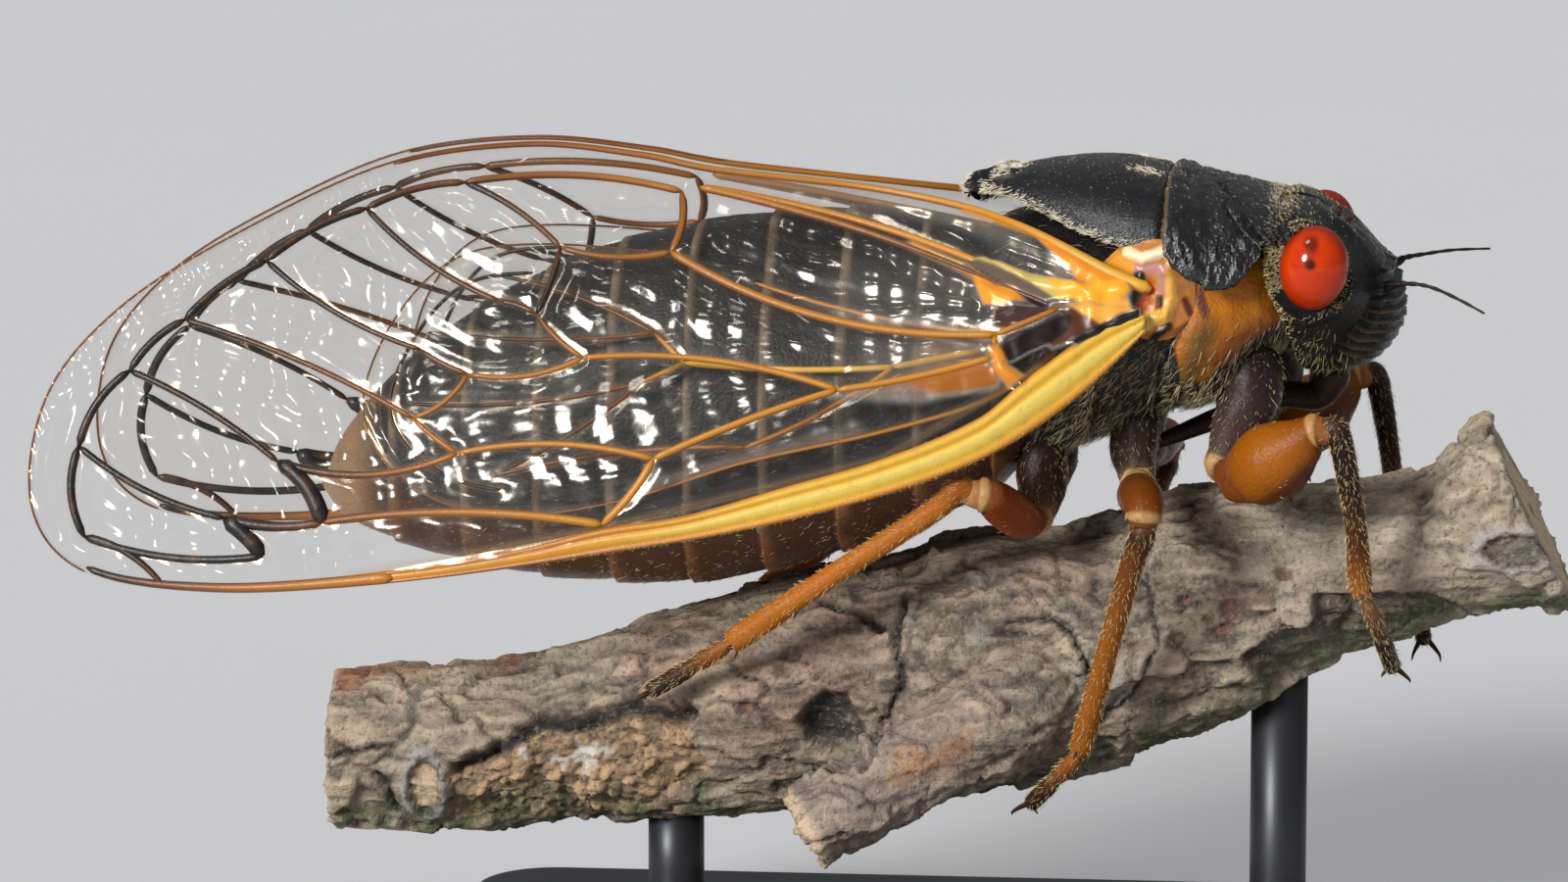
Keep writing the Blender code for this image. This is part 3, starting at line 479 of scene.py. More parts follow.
foreVeins = [  # from, to, sideways bow, half width at each end, tone at each end
    ("basal", "arculus", 0.0, 0.09, 0.1, 1.6, 1.3),
    ("arculus", "stem", 0.0, 0.1, 0.12, 1.2, 0.9),
    ("stem", "stemFork", 0.02, 0.11, 0.1, 1.0, 1.1),
    ("arculus", "cubitusFork", 0.07, 0.12, 0.12, 1.1, 1.5),
    ("cubitusFork", "rim8", -0.12, 0.12, 0.11, 1.7, 1.9),
    ("cubitusFork", "cubitusBend", 0.06, 0.1, 0.09, 1.5, 2.1),
    ("cubitusBend", "rim7", -0.05, 0.09, 0.1, 2.3, 2.9),
    ("upperBend", "cubitusBend", -0.05, 0.1, 0.1, 3.0, 2.6),
    ("stemFork", "upperFork", -0.05, 0.1, 0.09, 1.1, 1.3),
    ("upperFork", "upperBend", 0.05, 0.08, 0.08, 1.5, 2.4),
    ("upperBend", "upperEnd", -0.05, 0.08, 0.08, 2.4, 2.6),
    ("upperEnd", "rim6", 0.05, 0.08, 0.09, 2.4, 3.0),
    ("upperFork", "middleFork", 0.08, 0.08, 0.08, 1.3, 1.8),
    ("middleFork", "middleBend", 0.04, 0.09, 0.08, 2.2, 2.6),
    ("middleBend", "rim5", 0.05, 0.08, 0.09, 2.5, 3.0),
    ("middleFork", "lowerBend", 0.10, 0.08, 0.08, 1.7, 1.6),
    ("stemFork", "lowerFork", -0.02, 0.1, 0.11, 1.1, 1.1),
    ("lowerFork", "node", 0.05, 0.12, 0.12, 1.0, 1.0),
    ("lowerFork", "lowerSplit", -0.06, 0.1, 0.09, 1.2, 1.3),
    ("lowerSplit", "lowerBend", 0.03, 0.08, 0.08, 1.4, 1.7),
    ("lowerBend", "rim4", -0.03, 0.08, 0.09, 1.9, 3.0),
    ("lowerSplit", "darkUpper", 0.09, 0.09, 0.12, 1.5, 2.9),
    ("darkUpper", "rim3", -0.04, 0.09, 0.1, 2.8, 3.0),
    ("darkUpper", "darkInner", 0.12, 0.22, 0.27, 3.0, 3.0),
    ("node", "darkInner", -0.04, 0.13, 0.12, 1.0, 2.2),
    ("darkInner", "darkLower", 0.06, 0.12, 0.17, 2.4, 3.0),
    ("darkLower", "rim2", 0.06, 0.1, 0.1, 3.0, 3.0),
    ("darkLower", "darkEnd", 0.05, 0.27, 0.23, 3.0, 3.0),
    ("darkEnd", "rim1", 0.06, 0.12, 0.11, 3.0, 3.0),
    ("rim0", "rim1", -0.1, 0.09, 0.12, 2.6, 3.0),
    ("rim1", "rim2", 0.12, 0.12, 0.13, 3.0, 3.0),
    ("rim2", "rim3", 0.1, 0.13, 0.12, 3.0, 3.0),
    ("rim3", "rim4", 0.08, 0.12, 0.12, 3.0, 3.0),
    ("rim4", "rim5", 0.06, 0.12, 0.12, 3.0, 2.9),
    ("rim5", "rim6", 0.06, 0.12, 0.11, 2.9, 2.7),
    ("rim6", "rim7", 0.06, 0.11, 0.11, 2.7, 2.3),
    ("rim7", "rim8", 0.05, 0.11, 0.11, 2.2, 1.4),
    ("basal", "clavalEnd", -0.02, 0.07, 0.12, 2.7, 1.2),
    ("analMerge", "clavalEnd", -0.02, 0.11, 0.11, 0.9, 1.3),
]
foreEdges = [  # first and last point of the rim, inset, half widths, tones
    (5, 7, 0.16, (0.17, 0.14, 0.1), (1.2, 1.7, 3.0)),
    (7, 15, 0.03, (0.035, 0.03), (2.4, 2.0)),
    (12, 19, 0.09, (0.05, 0.07, 0.1, 0.1, 0.12, 0.2), (2.4, 1.9, 1.4, 1.1, 0.9, 0.4)),
]
hindEdges = [
    (5, 10, 0.8, (0.06, 0.06), (3, 3)),  # an inner line beside the rim
    (0, 13, 0.03, (0.08, 0.03, 0.03, 0.03), (0.8, 2.4, 2.4)),
]
hindJoints = {
    "root": (2.2, 20.6), "stem": (-2.0, 19.8), "fork": (-7.8, 19.8), "forkUp": (-8.7, 20.6),
    "forkDown": (-9.0, 19.2), "costaMid": (-6.0, 17.4), "rimLow": (-13.4, 16.3),
    "rimMid": (-15.8, 18.4), "rimUp": (-15.2, 20.4), "rimTop": (-13.2, 22.0), "anal": (-6.0, 22.0),
}
hindVeins = [
    ("root", "stem", 0.0, 0.12, 0.1, 0.3, 0.4),
    ("stem", "fork", 0.02, 0.09, 0.09, 0.2, 0.2),
    ("fork", "forkUp", 0.0, 0.09, 0.07, 0.3, 1.6),
    ("fork", "forkDown", 0.0, 0.09, 0.07, 0.3, 1.6),
    ("forkUp", "rimTop", -0.04, 0.06, 0.06, 2.0, 3.0),
    ("forkUp", "rimUp", 0.03, 0.06, 0.06, 2.0, 3.0),
    ("forkDown", "rimMid", 0.04, 0.06, 0.06, 2.2, 3.0),
    ("forkDown", "rimLow", 0.04, 0.06, 0.06, 2.2, 3.0),
    ("stem", "costaMid", 0.04, 0.08, 0.07, 0.8, 1.4),
    ("costaMid", "rimLow", -0.04, 0.07, 0.07, 1.4, 2.6),
    ("root", "anal", 0.03, 0.08, 0.07, 0.6, 1.4),
]
# upper edge of the thick leading band in the side view
bandTop = [(-17.0, 13.45), (-14.0, 13.95), (-11.8, 14.45), (-9.8, 15.0), (-7.5, 15.4), (-4.8, 16.2),
           (-2.1, 17.0), (0.5, 18.1), (1.6, 19.0), (2.1, 19.4), (3.7, 20.5), (5.0, 20.9)]
bandShape = {
    "height": [  # share of the way up the band, height over the membrane
        (0, 0.0), (0.05, 0.11), (0.13, 0.13), (0.22, 0.07), (0.4, 0.15), (0.55, 0.17), (0.68, 0.1),
        (0.8, 0.16), (0.92, 0.14), (1.0, 0.0)],
    "tones": [(0, 1.1), (0.12, 1.0), (0.22, 0.45), (0.35, 0.05), (0.55, 0.0), (0.66, 0.25),
              (0.72, 0.75), (0.8, 0.3), (0.9, 0.5), (1.0, 1.0)],
    "ends": (-16.9, 4.95),
    "strawAt": 0.5,
    "strawHalf": 0.09,
}
bristleShape = {
    "count": 1500, "seed": 90, "lie": (-0.6, 0.9, -0.5), "lengths": (0.05, 0.13),
    "widths": (0.006, 0.01), "rise": 0.6, "colours": [(0.75, 0.6, 0.3), (0.85, 0.75, 0.5)],
}
# painted stretches of membrane: path in the side view, half width, softness, colour, cover
forePaint = [
    ([(-7.0, 23.9), (-1.0, 23.3), (1.6, 22.8)], 0.35, 0.3, (0.3, 0.17, 0.06), 0.28),
    ([(-3.0, 21.0), (1.5, 21.6)], 0.9, 0.9, (0.3, 0.14, 0.04), 0.16),
    ([(-2.5, 19.4), (0.6, 20.2)], 0.5, 0.5, (0.3, 0.13, 0.03), 0.2),
    ([(-0.2, 23.3), (2.6, 22.75)], 0.1, 0.1, (0.55, 0.24, 0.03), 0.9),
    ([(-1.6, 22.45), (-0.4, 22.0), (0.5, 21.6)], 0.12, 0.12, (0.55, 0.28, 0.07), 0.75),
    ([(3.3, 22.6), (4.2, 22.25)], 0.12, 0.1, (0.5, 0.27, 0.16), 0.7),
]
# painted areas of membrane: outline in the side view, softness, colour, cover
foreAreas = [
    # brown haze and the orange plate over it
    ([(2.3, 22.3), (3.0, 22.0), (3.3, 21.6), (2.4, 21.7)], 0.25, (0.32, 0.16, 0.08), 0.5),
    ([(1.74, 22.9), (2.34, 22.75), (3.19, 22.5), (3.93, 22.2), (4.5, 21.9), (4.39, 21.61),
      (3.95, 21.55), (3.44, 21.6), (3.07, 21.69), (2.9, 21.97), (2.57, 22.24), (2.14, 22.51)],
     0.06, (0.74, 0.25, 0.012), 0.97),
    # the grey, straw and orange strips that run back from the root
    ([(-0.27, 22.2), (0.81, 21.97), (1.67, 21.68), (2.7, 21.25), (2.63, 21.1), (2.43, 21.05),
      (1.37, 21.42), (0.28, 21.85)], 0.05, (0.1, 0.075, 0.055), 0.93),
    ([(-0.12, 22.2), (0.91, 22.02), (1.87, 21.78), (3.02, 21.6), (3.2, 21.3), (2.63, 21.2),
      (1.67, 21.62), (0.81, 21.92)], 0.05, (0.5, 0.36, 0.08), 0.95),
    ([(2.3, 21.66), (3.02, 21.62), (3.95, 21.62), (4.45, 21.8), (4.6, 21.41), (4.23, 21.07),
      (3.77, 21.05), (3.2, 21.1), (2.63, 21.3)], 0.1, (0.82, 0.36, 0.02), 0.97),
    # black line, orange triangle and two brown cells under it
    ([(-0.81, 22.24), (0.28, 21.87), (1.37, 21.48), (2.43, 21.05), (2.12, 21.0), (1.75, 21.16),
      (1.48, 21.41), (0.83, 21.66), (0.01, 21.95)], 0.03, (0.012, 0.009, 0.01), 0.97),
    ([(0.12, 21.86), (0.84, 21.54), (1.4, 21.48), (1.65, 21.18), (0.98, 21.0), (0.5, 21.02),
      (0.3, 21.41)], 0.08, (0.76, 0.27, 0.015), 0.95),
    ([(0.9, 21.0), (1.71, 21.06), (2.5, 21.05), (1.93, 20.72), (1.32, 20.46), (0.8, 20.5)],
     0.07, (0.045, 0.018, 0.018), 0.85),
    ([(2.69, 21.03), (3.3, 21.0), (3.95, 20.62), (3.38, 20.3), (2.47, 19.95), (2.0, 20.42)],
     0.12, (0.08, 0.024, 0.01), 0.93),
    # lower orange strip, the black cell and the black line along the leading band
    ([(2.8, 21.12), (3.77, 21.1), (4.5, 21.25), (4.6, 20.95), (4.2, 20.8), (3.78, 20.6),
      (3.26, 20.87)], 0.09, (0.78, 0.36, 0.05), 0.96),
    ([(0.98, 19.76), (0.97, 20.01), (1.17, 20.3), (1.93, 20.56), (2.69, 20.98), (2.95, 20.75),
      (2.9, 20.45), (2.47, 20.1), (1.76, 19.8), (1.35, 19.57), (1.09, 19.62)],
     0.08, (0.008, 0.003, 0.003), 0.985),
    ([(2.9, 20.12), (3.68, 20.55), (4.29, 20.82), (4.8, 21.0), (4.85, 20.8), (4.29, 20.55),
      (3.68, 20.28), (3.1, 20.02)], 0.05, (0.009, 0.008, 0.009), 0.985),
    # orange stain behind the band's root, dark stain above it and the orange joint
    ([(-3.6, 18.6), (-1.12, 19.38), (0.42, 19.56), (0.85, 19.5), (1.1, 19.22), (0.96, 18.95),
      (0.24, 18.8), (-1.08, 18.5)], 0.2, (0.2, 0.075, 0.015), 0.6),
    ([(-1.6, 19.0), (-0.6, 19.42), (0.42, 19.56), (0.85, 19.5), (1.1, 19.22), (0.96, 18.95),
      (0.24, 18.8), (-0.6, 18.7)], 0.16, (0.3, 0.095, 0.01), 0.9),
    ([(-2.9, 20.6), (-1.19, 20.57), (-0.39, 20.35), (0.4, 20.18), (0.82, 20.1), (0.72, 19.9),
      (-0.12, 20.0), (-1.16, 20.2)], 0.12, (0.05, 0.02, 0.02), 0.7),
    ([(0.75, 19.86), (0.92, 20.1), (1.3, 19.5), (1.75, 19.25), (1.3, 18.9), (0.9, 19.37)],
     0.07, (0.6, 0.22, 0.02), 0.97),
]
foreRidges = [  # raised stretches of the painted areas: path, half width, height
    ([(0.4, 22.05), (1.4, 21.78), (2.6, 21.52), (3.6, 21.38), (4.5, 21.4)], 0.22, 0.2),
    ([(2.4, 21.1), (3.3, 21.15), (4.2, 21.1), (4.7, 21.1)], 0.1, 0.08),
    ([(3.0, 20.1), (3.8, 20.45), (4.8, 20.9)], 0.1, 0.07),
    ([(0.8, 19.95), (1.1, 19.4), (1.7, 19.0)], 0.16, 0.15),
    ([(2.4, 22.35), (3.4, 21.95), (4.3, 21.65)], 0.3, 0.1),
    ([(0.5, 21.4), (1.3, 21.25)], 0.2, 0.07),
]
hindPaint = [
    ([(2.4, 20.6), (-1.0, 20.2)], 0.4, 0.4, (0.55, 0.25, 0.06), 0.5),
    ([(-9.0, 16.1), (-3.0, 17.9)], 0.25, 0.2, (0.3, 0.13, 0.03), 0.3),
]


def wingSpread(x, z):  # distance of the forewing's surface from the body's middle plane
    ridge, costa = lineValue(wingShape["ridgeHeight"], x), lineValue(wingShape["costaHeight"], x)
    share = np.clip((ridge - z) / (ridge - costa), 0, 1)
    inner, outer = lineValue(wingShape["ridgeSpread"], x), lineValue(wingShape["costaSpread"], x)
    return inner + (outer - inner) * (1 - (1 - share) ** wingShape["roofPower"])


def onWing(flat, inset=0.0):  # places and outward directions of side-view points, on the left wing
    x, z = flat.T
    reach = 0.2
    slopeX = (wingSpread(x + reach, z) - wingSpread(x - reach, z)) / (2 * reach)
    slopeZ = (wingSpread(x, z + reach) - wingSpread(x, z - reach)) / (2 * reach)
    normal = unit(np.stack([-slopeX, np.ones_like(x), -slopeZ], axis=1))
    return np.stack([x, wingSpread(x, z), z], axis=1) - normal * inset, normal


def toneColour(tone):
    rows = np.array(veinTones)
    colour = np.stack([np.interp(tone, range(len(rows)), rows[:, k]) for k in range(3)], axis=-1)
    return np.concatenate([colour, np.ones(colour.shape[:-1] + (1,))], axis=-1)


def bowed(start, end, bow, step=0.18):
    start, end = np.array(start), np.array(end)
    along = end - start
    t = np.linspace(0, 1, max(4, int(np.linalg.norm(along) / step)))[:, None]
    return start + along * t + np.array([-along[1], along[0]]) * bow * 4 * t * (1 - t)


def veinTube(flat, halfWidths, tones, inset=0.0, rise=0.9, sides=8):
    middle, normal = onWing(flat, inset)
    count = len(flat)
    widths = np.interp(np.linspace(0, 1, count), np.linspace(0, 1, len(halfWidths)), halfWidths)
    widths[[0, -1]] *= 0.4
    along = unit(np.gradient(middle, axis=0))
    across = unit(np.cross(normal, along))
    turn = np.linspace(0, 2 * math.pi, sides, endpoint=False)[None, :, None]
    rings = middle[:, None] + widths[:, None, None] * (
        across[:, None] * np.cos(turn) + normal[:, None] * np.sin(turn) * rise)
    form = fromRings(rings)
    tone = np.interp(form.tags["along"], np.linspace(0, 1, len(tones)), tones)
    tone = tone + 0.75 * np.abs(np.cos(2 * math.pi * form.tags["turn"])) ** 3
    return Form(form.points, form.quads, form.tris, tint=toneColour(tone))


def rimHalves(rim):  # the lower and upper rim, both from the tip forward
    outline = curveThrough(rim, 14)
    tip = outline[:, 0].argmin()
    return outline[:tip + 1][::-1], outline[tip:]


def insetRim(rim, first, last, inset):
    outline = evenly(curveThrough(rim, 14), 0.2)
    ends = [np.linalg.norm(outline - rim[k], axis=1).argmin() for k in (first, last)]
    along = unit(np.gradient(outline, axis=0))
    return (outline + np.stack([along[:, 1], -along[:, 0]], axis=1) * inset)[ends[0]:ends[1] + 1]


def filmGrid(rim, columns, rows):  # side-view points of a membrane, and their distances from its rim
    low, high = rimHalves(rim)
    s = np.linspace(0, 1, columns)
    s = s - 0.06 * (1 - np.exp(-s / 0.06))
    x = low[0, 0] + 0.002 + (min(low[-1, 0], high[-1, 0]) - low[0, 0] - 0.004) * s / s[-1]
    bottom, top = np.interp(x, low[:, 0], low[:, 1]), np.interp(x, high[:, 0], high[:, 1])
    share = np.linspace(0, 1, rows)
    z = bottom[:, None] + (top - bottom)[:, None] * share
    edge = np.tile(np.minimum(share, 1 - share), columns) * np.repeat(top - bottom, rows)
    return np.stack([np.repeat(x, rows), z.ravel()], axis=1), edge


def filmRelief(solid, edge, toVein, towardsTip, upward):
    # cross folds, a frilled border, a dome in each cell and rows of dents along the veins
    x, z, _ = solid.T
    border = np.minimum(toVein, edge)
    clear = ease(0.04, 0.45, border)
    away = np.hypot(x - wingShape["root"][0], z - wingShape["root"][1])
    phase = 25 * np.log1p(away / 25) / wingShape["wave"] + 0.55 * cloud(solid, 1.7, 2, 4)
    phase = 2 * math.pi * phase
    fold = np.arcsin(0.93 * np.sin(phase)) / (0.5 * math.pi)
    fold = fold * ease(-0.7, 0.5, cloud(solid, 1.0, 3, 8)) * (1 - towardsTip)
    fold = fold + np.sin(phase) * 2.0 * towardsTip
    lift = wingShape["foldDepth"] * fold * clear + 0.02 * cloud(solid, 0.8, 2, 6) * clear
    frill = ease(1.0, 0.7, edge) * towardsTip * (z > 14.5)
    lift += 0.03 * frill * np.sin(2 * math.pi * (x + z * 0.6) / 0.42)
    swell = np.clip(border / wingShape["domeReach"], 0, 1)
    lift += wingShape["dome"] * (1 - (1 - swell) ** 2)
    rowPhase = 2 * math.pi * (toVein / wingShape["rowSpacing"] + 0.3 * cloud(solid, 0.9, 2, 5))
    steep = wingShape["rowDepth"] * (1 + 3.8 * ease(0.3, 0.8, upward) + 1.2 * towardsTip)
    return lift + steep * np.sin(rowPhase) * clear


def filmPaint(flat, solid, toVein, towardsTip, paint, areas):  # colour and cover of each point
    colour = np.tile(wingShape["filmColour"], (len(flat), 1)) * (1 - 0.5 * towardsTip)[:, None]
    colour += (np.array(wingShape["besideVein"]) - colour) * bell(toVein, 0.14)[:, None]
    cover = 0.008 + 0.3 * bell(toVein, 0.1)
    coats = []
    for path, half, soft, paintColour, strength in paint:
        ragged = toPath(flat, path) + 0.03 * cloud(solid, 0.3, 2, 15)
        coats.append(((1 - ease(half - soft, half + soft, ragged)) * strength, paintColour, 1.6))
    ragged = flat + 0.035 * np.stack([cloud(solid, 0.3, 2, 15), cloud(solid, 0.3, 2, 16)], axis=1)
    for outline, soft, paintColour, strength in areas:
        coats.append((region(ragged, outline, soft) * strength, paintColour, 1.3))
    for weight, paintColour, spread in coats:
        colour += (np.array(paintColour) - colour) * np.minimum(weight * spread, 1)[:, None]
        cover += (1 - cover) * weight
    return np.concatenate([colour, np.ones((len(flat), 1))], axis=1), cover


def membrane(rim, veins, paint, areas, ridges, columns, rows, inset):
    flat, edge = filmGrid(rim, columns, rows)
    solid = np.stack([flat[:, 0], flat[:, 1], np.zeros(len(flat))], axis=1)
    toVein = np.full(len(flat), 9.0)
    for path in veins:
        toVein = np.minimum(toVein, toPath(flat, path[::3] if len(path) > 8 else path))
    towardsTip = ease(-14.0, -18.5, flat[:, 0])
    middle, normal = onWing(flat, inset)
    lift = filmRelief(solid, edge, toVein, towardsTip, normal[:, 2])
    for path, half, height in ridges:
        lift += height * bell(toPath(flat, path), half)
    tint, cover = filmPaint(flat, solid, toVein, towardsTip, paint, areas)
    index = np.arange(columns * rows).reshape(columns, rows)
    quads = np.stack([index[:-1, :-1], index[:-1, 1:], index[1:, 1:], index[1:, :-1]], axis=-1)
    return Form(middle + normal * lift[:, None], quads.reshape(-1, 4), tint=tint, opaque=cover)


def costalBand():  # the thick yellow leading edge, from the root to the node
    low, _ = rimHalves(wingShape["foreRim"])
    x = np.linspace(*bandShape["ends"], 240)
    v = np.linspace(0, 1, 17)
    bottom, top = np.interp(x, low[:, 0], low[:, 1]), lineValue(bandTop, x)
    z = bottom[:, None] + (top - bottom)[:, None] * v
    middle, normal = onWing(np.stack([np.repeat(x, len(v)), z.ravel()], axis=1))
    rise = np.interp(np.tile(v, len(x)), *np.array(bandShape["height"]).T)
    rise = rise * np.repeat(ease(-14.0, -6.0, x) * 0.8 + 0.35, len(v))
    outer = (middle + normal * rise[:, None]).reshape(len(x), len(v), 3)
    inner = (middle - normal * (0.45 * rise + 0.01)[:, None]).reshape(len(x), len(v), 3)
    form = fromRings(np.concatenate([outer, inner[:, ::-1]], axis=1))
    across = np.append(np.tile(np.concatenate([v, v[::-1]]), len(x)), [0.5, 0.5])
    tone = np.interp(across, *np.array(bandShape["tones"]).T)
    form.tags["tint"] = toneColour(tone + 0.9 * (1 - ease(-11.5, -4.5, form.points[:, 0])))
    straw = bell(across - bandShape["strawAt"], bandShape["strawHalf"])
    straw = straw * ease(-11.0, -6.0, form.points[:, 0])
    blend(form, straw * (0.75 + 0.3 * cloud(form.points, 0.8, 2, 19)), strawTone)
    return form


def bandBristles(band):  # tiny bristles, most of them along the lower edge
    def dense(points):
        low, _ = rimHalves(wingShape["foreRim"])
        height = points[:, 2] - np.interp(points[:, 0], low[:, 0], low[:, 1])
        return (0.12 + ease(0.35, 0.05, height)) * ease(-13.0, -9.0, points[:, 0])
    return hairs(band, dense, **bristleShape)


def addVeins(forms, paths, joints, veins, rim, edges, inset):
    for start, end, bow, wideStart, wideEnd, toneStart, toneEnd in veins:
        paths.append(bowed(joints[start], joints[end], bow))
        forms.append(veinTube(paths[-1], (wideStart, wideEnd), (toneStart, toneEnd), inset))
    for first, last, edgeInset, widths, tones in edges:
        paths.append(insetRim(rim, first, last, edgeInset))
        forms.append(veinTube(paths[-1], widths, tones, inset))


def foreVeinForms(band):
    forms, paths = [band.only("tint")], [np.array(bandTop)]
    addVeins(forms, paths, foreJoints, foreVeins, wingShape["foreRim"], foreEdges, 0.0)
    return merged(forms), paths


def hindVeinForms():
    forms, paths = [], []
    addVeins(forms, paths, hindJoints, hindVeins, wingShape["hindRim"], hindEdges, wingShape["hindInset"])
    return merged(forms), paths


def membraneFinish():
    f = Finish("wingMembrane")
    cover = f.tag("opaque", "Fac")
    clear = 1 - cover
    ripple = f.bump(f.noise(0.3, 2.0), 0.005)
    colour = f.mix(f.noise(0.5) * clear * 0.3, f.tag("tint"), (0.75, 0.6, 0.42))
    shine = f.skin(Base_Color=colour, Metallic=clear * 0.95, Roughness=0.16 + cover * 0.16,
                   Specular_IOR_Level=0.3, Normal=ripple)
    through = f.node("ShaderNodeBsdfTransparent", {}, {"Color": (0.98, 0.97, 0.95)})
    edgeOn = f.node("ShaderNodeLayerWeight", {}, {"Blend": 0.5}, "Facing")
    glance = 0.045 + 0.6 * edgeOn ** 5.0
    return f.done(f.node("ShaderNodeMixShader", {}, {0: cover + clear * glance, 1: through, 2: shine}))


def veinFinish():
    f = Finish("wingVein")
    mottle = f.noise(0.4, 4.0)
    colour = f.mix(mottle.above(0.45, 0.75) * 0.18, f.tag("tint"), (0.3, 0.12, 0.02))
    grain = f.bump(f.noise(0.06, 3.0), 0.012)
    return f.done(f.skin(Base_Color=colour, Roughness=0.26 + mottle * 0.2, Specular_IOR_Level=0.4,
                         Normal=grain))


def makeWings():
    veinSkin, film = veinFinish(), membraneFinish()
    band = costalBand()
    foreVein, forePaths = foreVeinForms(band)
    bristles, bristleSkin = bandBristles(band), hairFinish("wingBristle")
    hindVein, hindPaths = hindVeinForms()
    foreFilm = membrane(wingShape["foreRim"], forePaths, forePaint, foreAreas, foreRidges, 430, 130, 0.0)
    hindFilm = membrane(wingShape["hindRim"], hindPaths, hindPaint, [], [], 200, 66,
                        wingShape["hindInset"])
    for label, side, node in sidesOfBody:
        coat = bristles if side > 0 else bristles.mirrored()
        makePiece(f"forewingBristles{label}", coat, bristleSkin, [f"forewing_{node}"])
        for kind, sheet, ribs in (("fore", foreFilm, foreVein), ("hind", hindFilm, hindVein)):
            if side < 0:
                sheet, ribs = sheet.mirrored(), ribs.mirrored()
            makePiece(f"{kind}wingFilm{label}", sheet, film, [f"{kind}wing_{node}"])
            makePiece(f"{kind}wingVeins{label}", ribs, veinSkin, [f"{kind}wing_{node}"])
    print("wings made")


# Trunk of the body, its two back plates and the abdomen

bodyShape = {
    "trunk": [  # x, top, bottom, half width, height of the widest line
        (0.3, 22.6, 15.6, 2.2, 18.7), (0.95, 23.0, 15.85, 2.6, 18.8), (2.2, 23.2, 16.3, 3.2, 19.2),
        (3.6, 22.9, 16.9, 3.8, 19.8), (5.15, 22.8, 17.6, 4.05, 20.3), (6.0, 22.8, 17.8, 4.2, 20.3),
        (6.6, 22.6, 18.0, 4.2, 20.3), (7.2, 22.7, 18.4, 4.0, 20.5), (7.8, 22.9, 18.9, 3.6, 20.8),
        (8.35, 23.1, 19.2, 3.2, 21.0), (9.0, 22.6, 19.6, 2.6, 21.0)],
    "mesonotum": [  # x, top, side edge, half width
        (-0.3, 23.9, 23.7, 0.8), (0.4, 24.12, 23.75, 1.45), (1.2, 24.36, 23.66, 2.2),
        (2.2, 24.53, 23.33, 3.05), (3.2, 24.62, 22.95, 3.75), (4.3, 24.6, 22.65, 4.2),
        (5.1, 24.45, 22.6, 4.3)],
    "pronotum": [
        (5.45, 24.45, 22.55, 4.95), (6.0, 24.38, 21.95, 5.05), (6.6, 24.2, 21.6, 5.0),
        (7.2, 24.07, 21.65, 4.8), (7.8, 23.93, 22.1, 4.55), (8.35, 23.75, 22.85, 4.3)],
    "abdomen": [  # x, top, bottom, half width
        (-18.6, 15.5, 14.6, 0.5), (-18.0, 16.6, 14.1, 1.3), (-16.6, 18.3, 13.45, 2.2),
        (-14.0, 20.3, 12.8, 3.2), (-11.0, 21.8, 12.45, 3.95), (-7.5, 22.7, 12.5, 4.35),
        (-4.0, 23.1, 13.3, 4.45), (-1.0, 22.9, 14.5, 4.3), (0.65, 22.4, 15.3, 3.9),
        (1.6, 21.8, 16.4, 3.1)],
    "segments": 9,
    "segmentSwell": 0.12,
    "legSockets": [(7.35, 2.6, 18.3, 0.9), (4.6, 2.4, 17.2, 0.9), (2.0, 2.2, 16.3, 0.8)],
}


def sectionValues(sections, xs):
    rows = np.array(sections)
    return [lineValue(list(zip(rows[:, 0], rows[:, k])), xs)[:, None] for k in range(1, rows.shape[1])]


def loft(xs, top, bottom, half, wide, around, powers):  # rings whose roundness follows the powers
    turn = np.linspace(0, 2 * math.pi, around, endpoint=False)[None]
    cosine, sine = np.cos(turn), np.sin(turn)
    sidePower, upPower, downPower = powers
    y = half * np.sign(cosine) * np.abs(cosine) ** np.where(sine > 0, upPower, sidePower)
    z = np.where(sine > 0, wide + (top - wide) * np.abs(sine) ** upPower,
                 wide - (wide - bottom) * np.abs(sine) ** downPower)
    return np.stack([np.broadcast_to(xs[:, None], y.shape), y, z], axis=2)


def plateRings(sections, xs, around, thickness):  # a curved shell with a rounded rim
    top, edge, half = sectionValues(sections, xs)
    ends = np.minimum(xs - xs[0], xs[-1] - xs)[:, None]
    drop = 0.22 * (1 - np.sqrt(1 - (1 - np.clip(ends / 0.3, 0, 1)) ** 2))
    turn = np.linspace(0, math.pi, around)[None]
    rings = []
    for inwards in (drop, drop * 0 + thickness):
        y = (half - inwards) * np.sign(np.cos(turn)) * np.abs(np.cos(turn)) ** 0.8
        z = edge + (top - edge - inwards) * np.sin(turn) ** 0.9 + (inwards > drop) * 0.02
        rings.append(np.stack([np.broadcast_to(xs[:, None], y.shape), y, z], axis=2))
    return np.concatenate([rings[0], rings[1][:, ::-4]], axis=1)


neckPatch = {  # the orange plate between the wing root and the head, drawn in the side view
    "outline": [(6.4, 22.3), (7.9, 22.3), (8.75, 22.2), (8.95, 21.3), (8.6, 20.5), (7.73, 19.95),
                (7.16, 19.5), (6.5, 18.85), (6.0, 18.9), (5.75, 19.9), (6.05, 20.5), (6.3, 21.1)],
    "amber": (0.4, 0.125, 0.003),
    "bright": (0.62, 0.23, 0.01),
    "marks": [  # path, half width, soft edge, strength, colour
        ([(6.6, 20.3), (6.35, 19.7), (6.2, 19.0)], 0.35, 0.33, 1.0, (0.1, 0.045, 0.004)),
        ([(6.9, 19.5), (7.7, 20.1), (8.7, 20.9)], 0.3, 0.25, 0.8, (0.15, 0.035, 0.004)),
        ([(6.39, 21.36), (6.57, 20.86)], 0.13, 0.05, 1.0, (0.1, 0.025, 0.008)),
    ],
    "relief": 0.14,
}
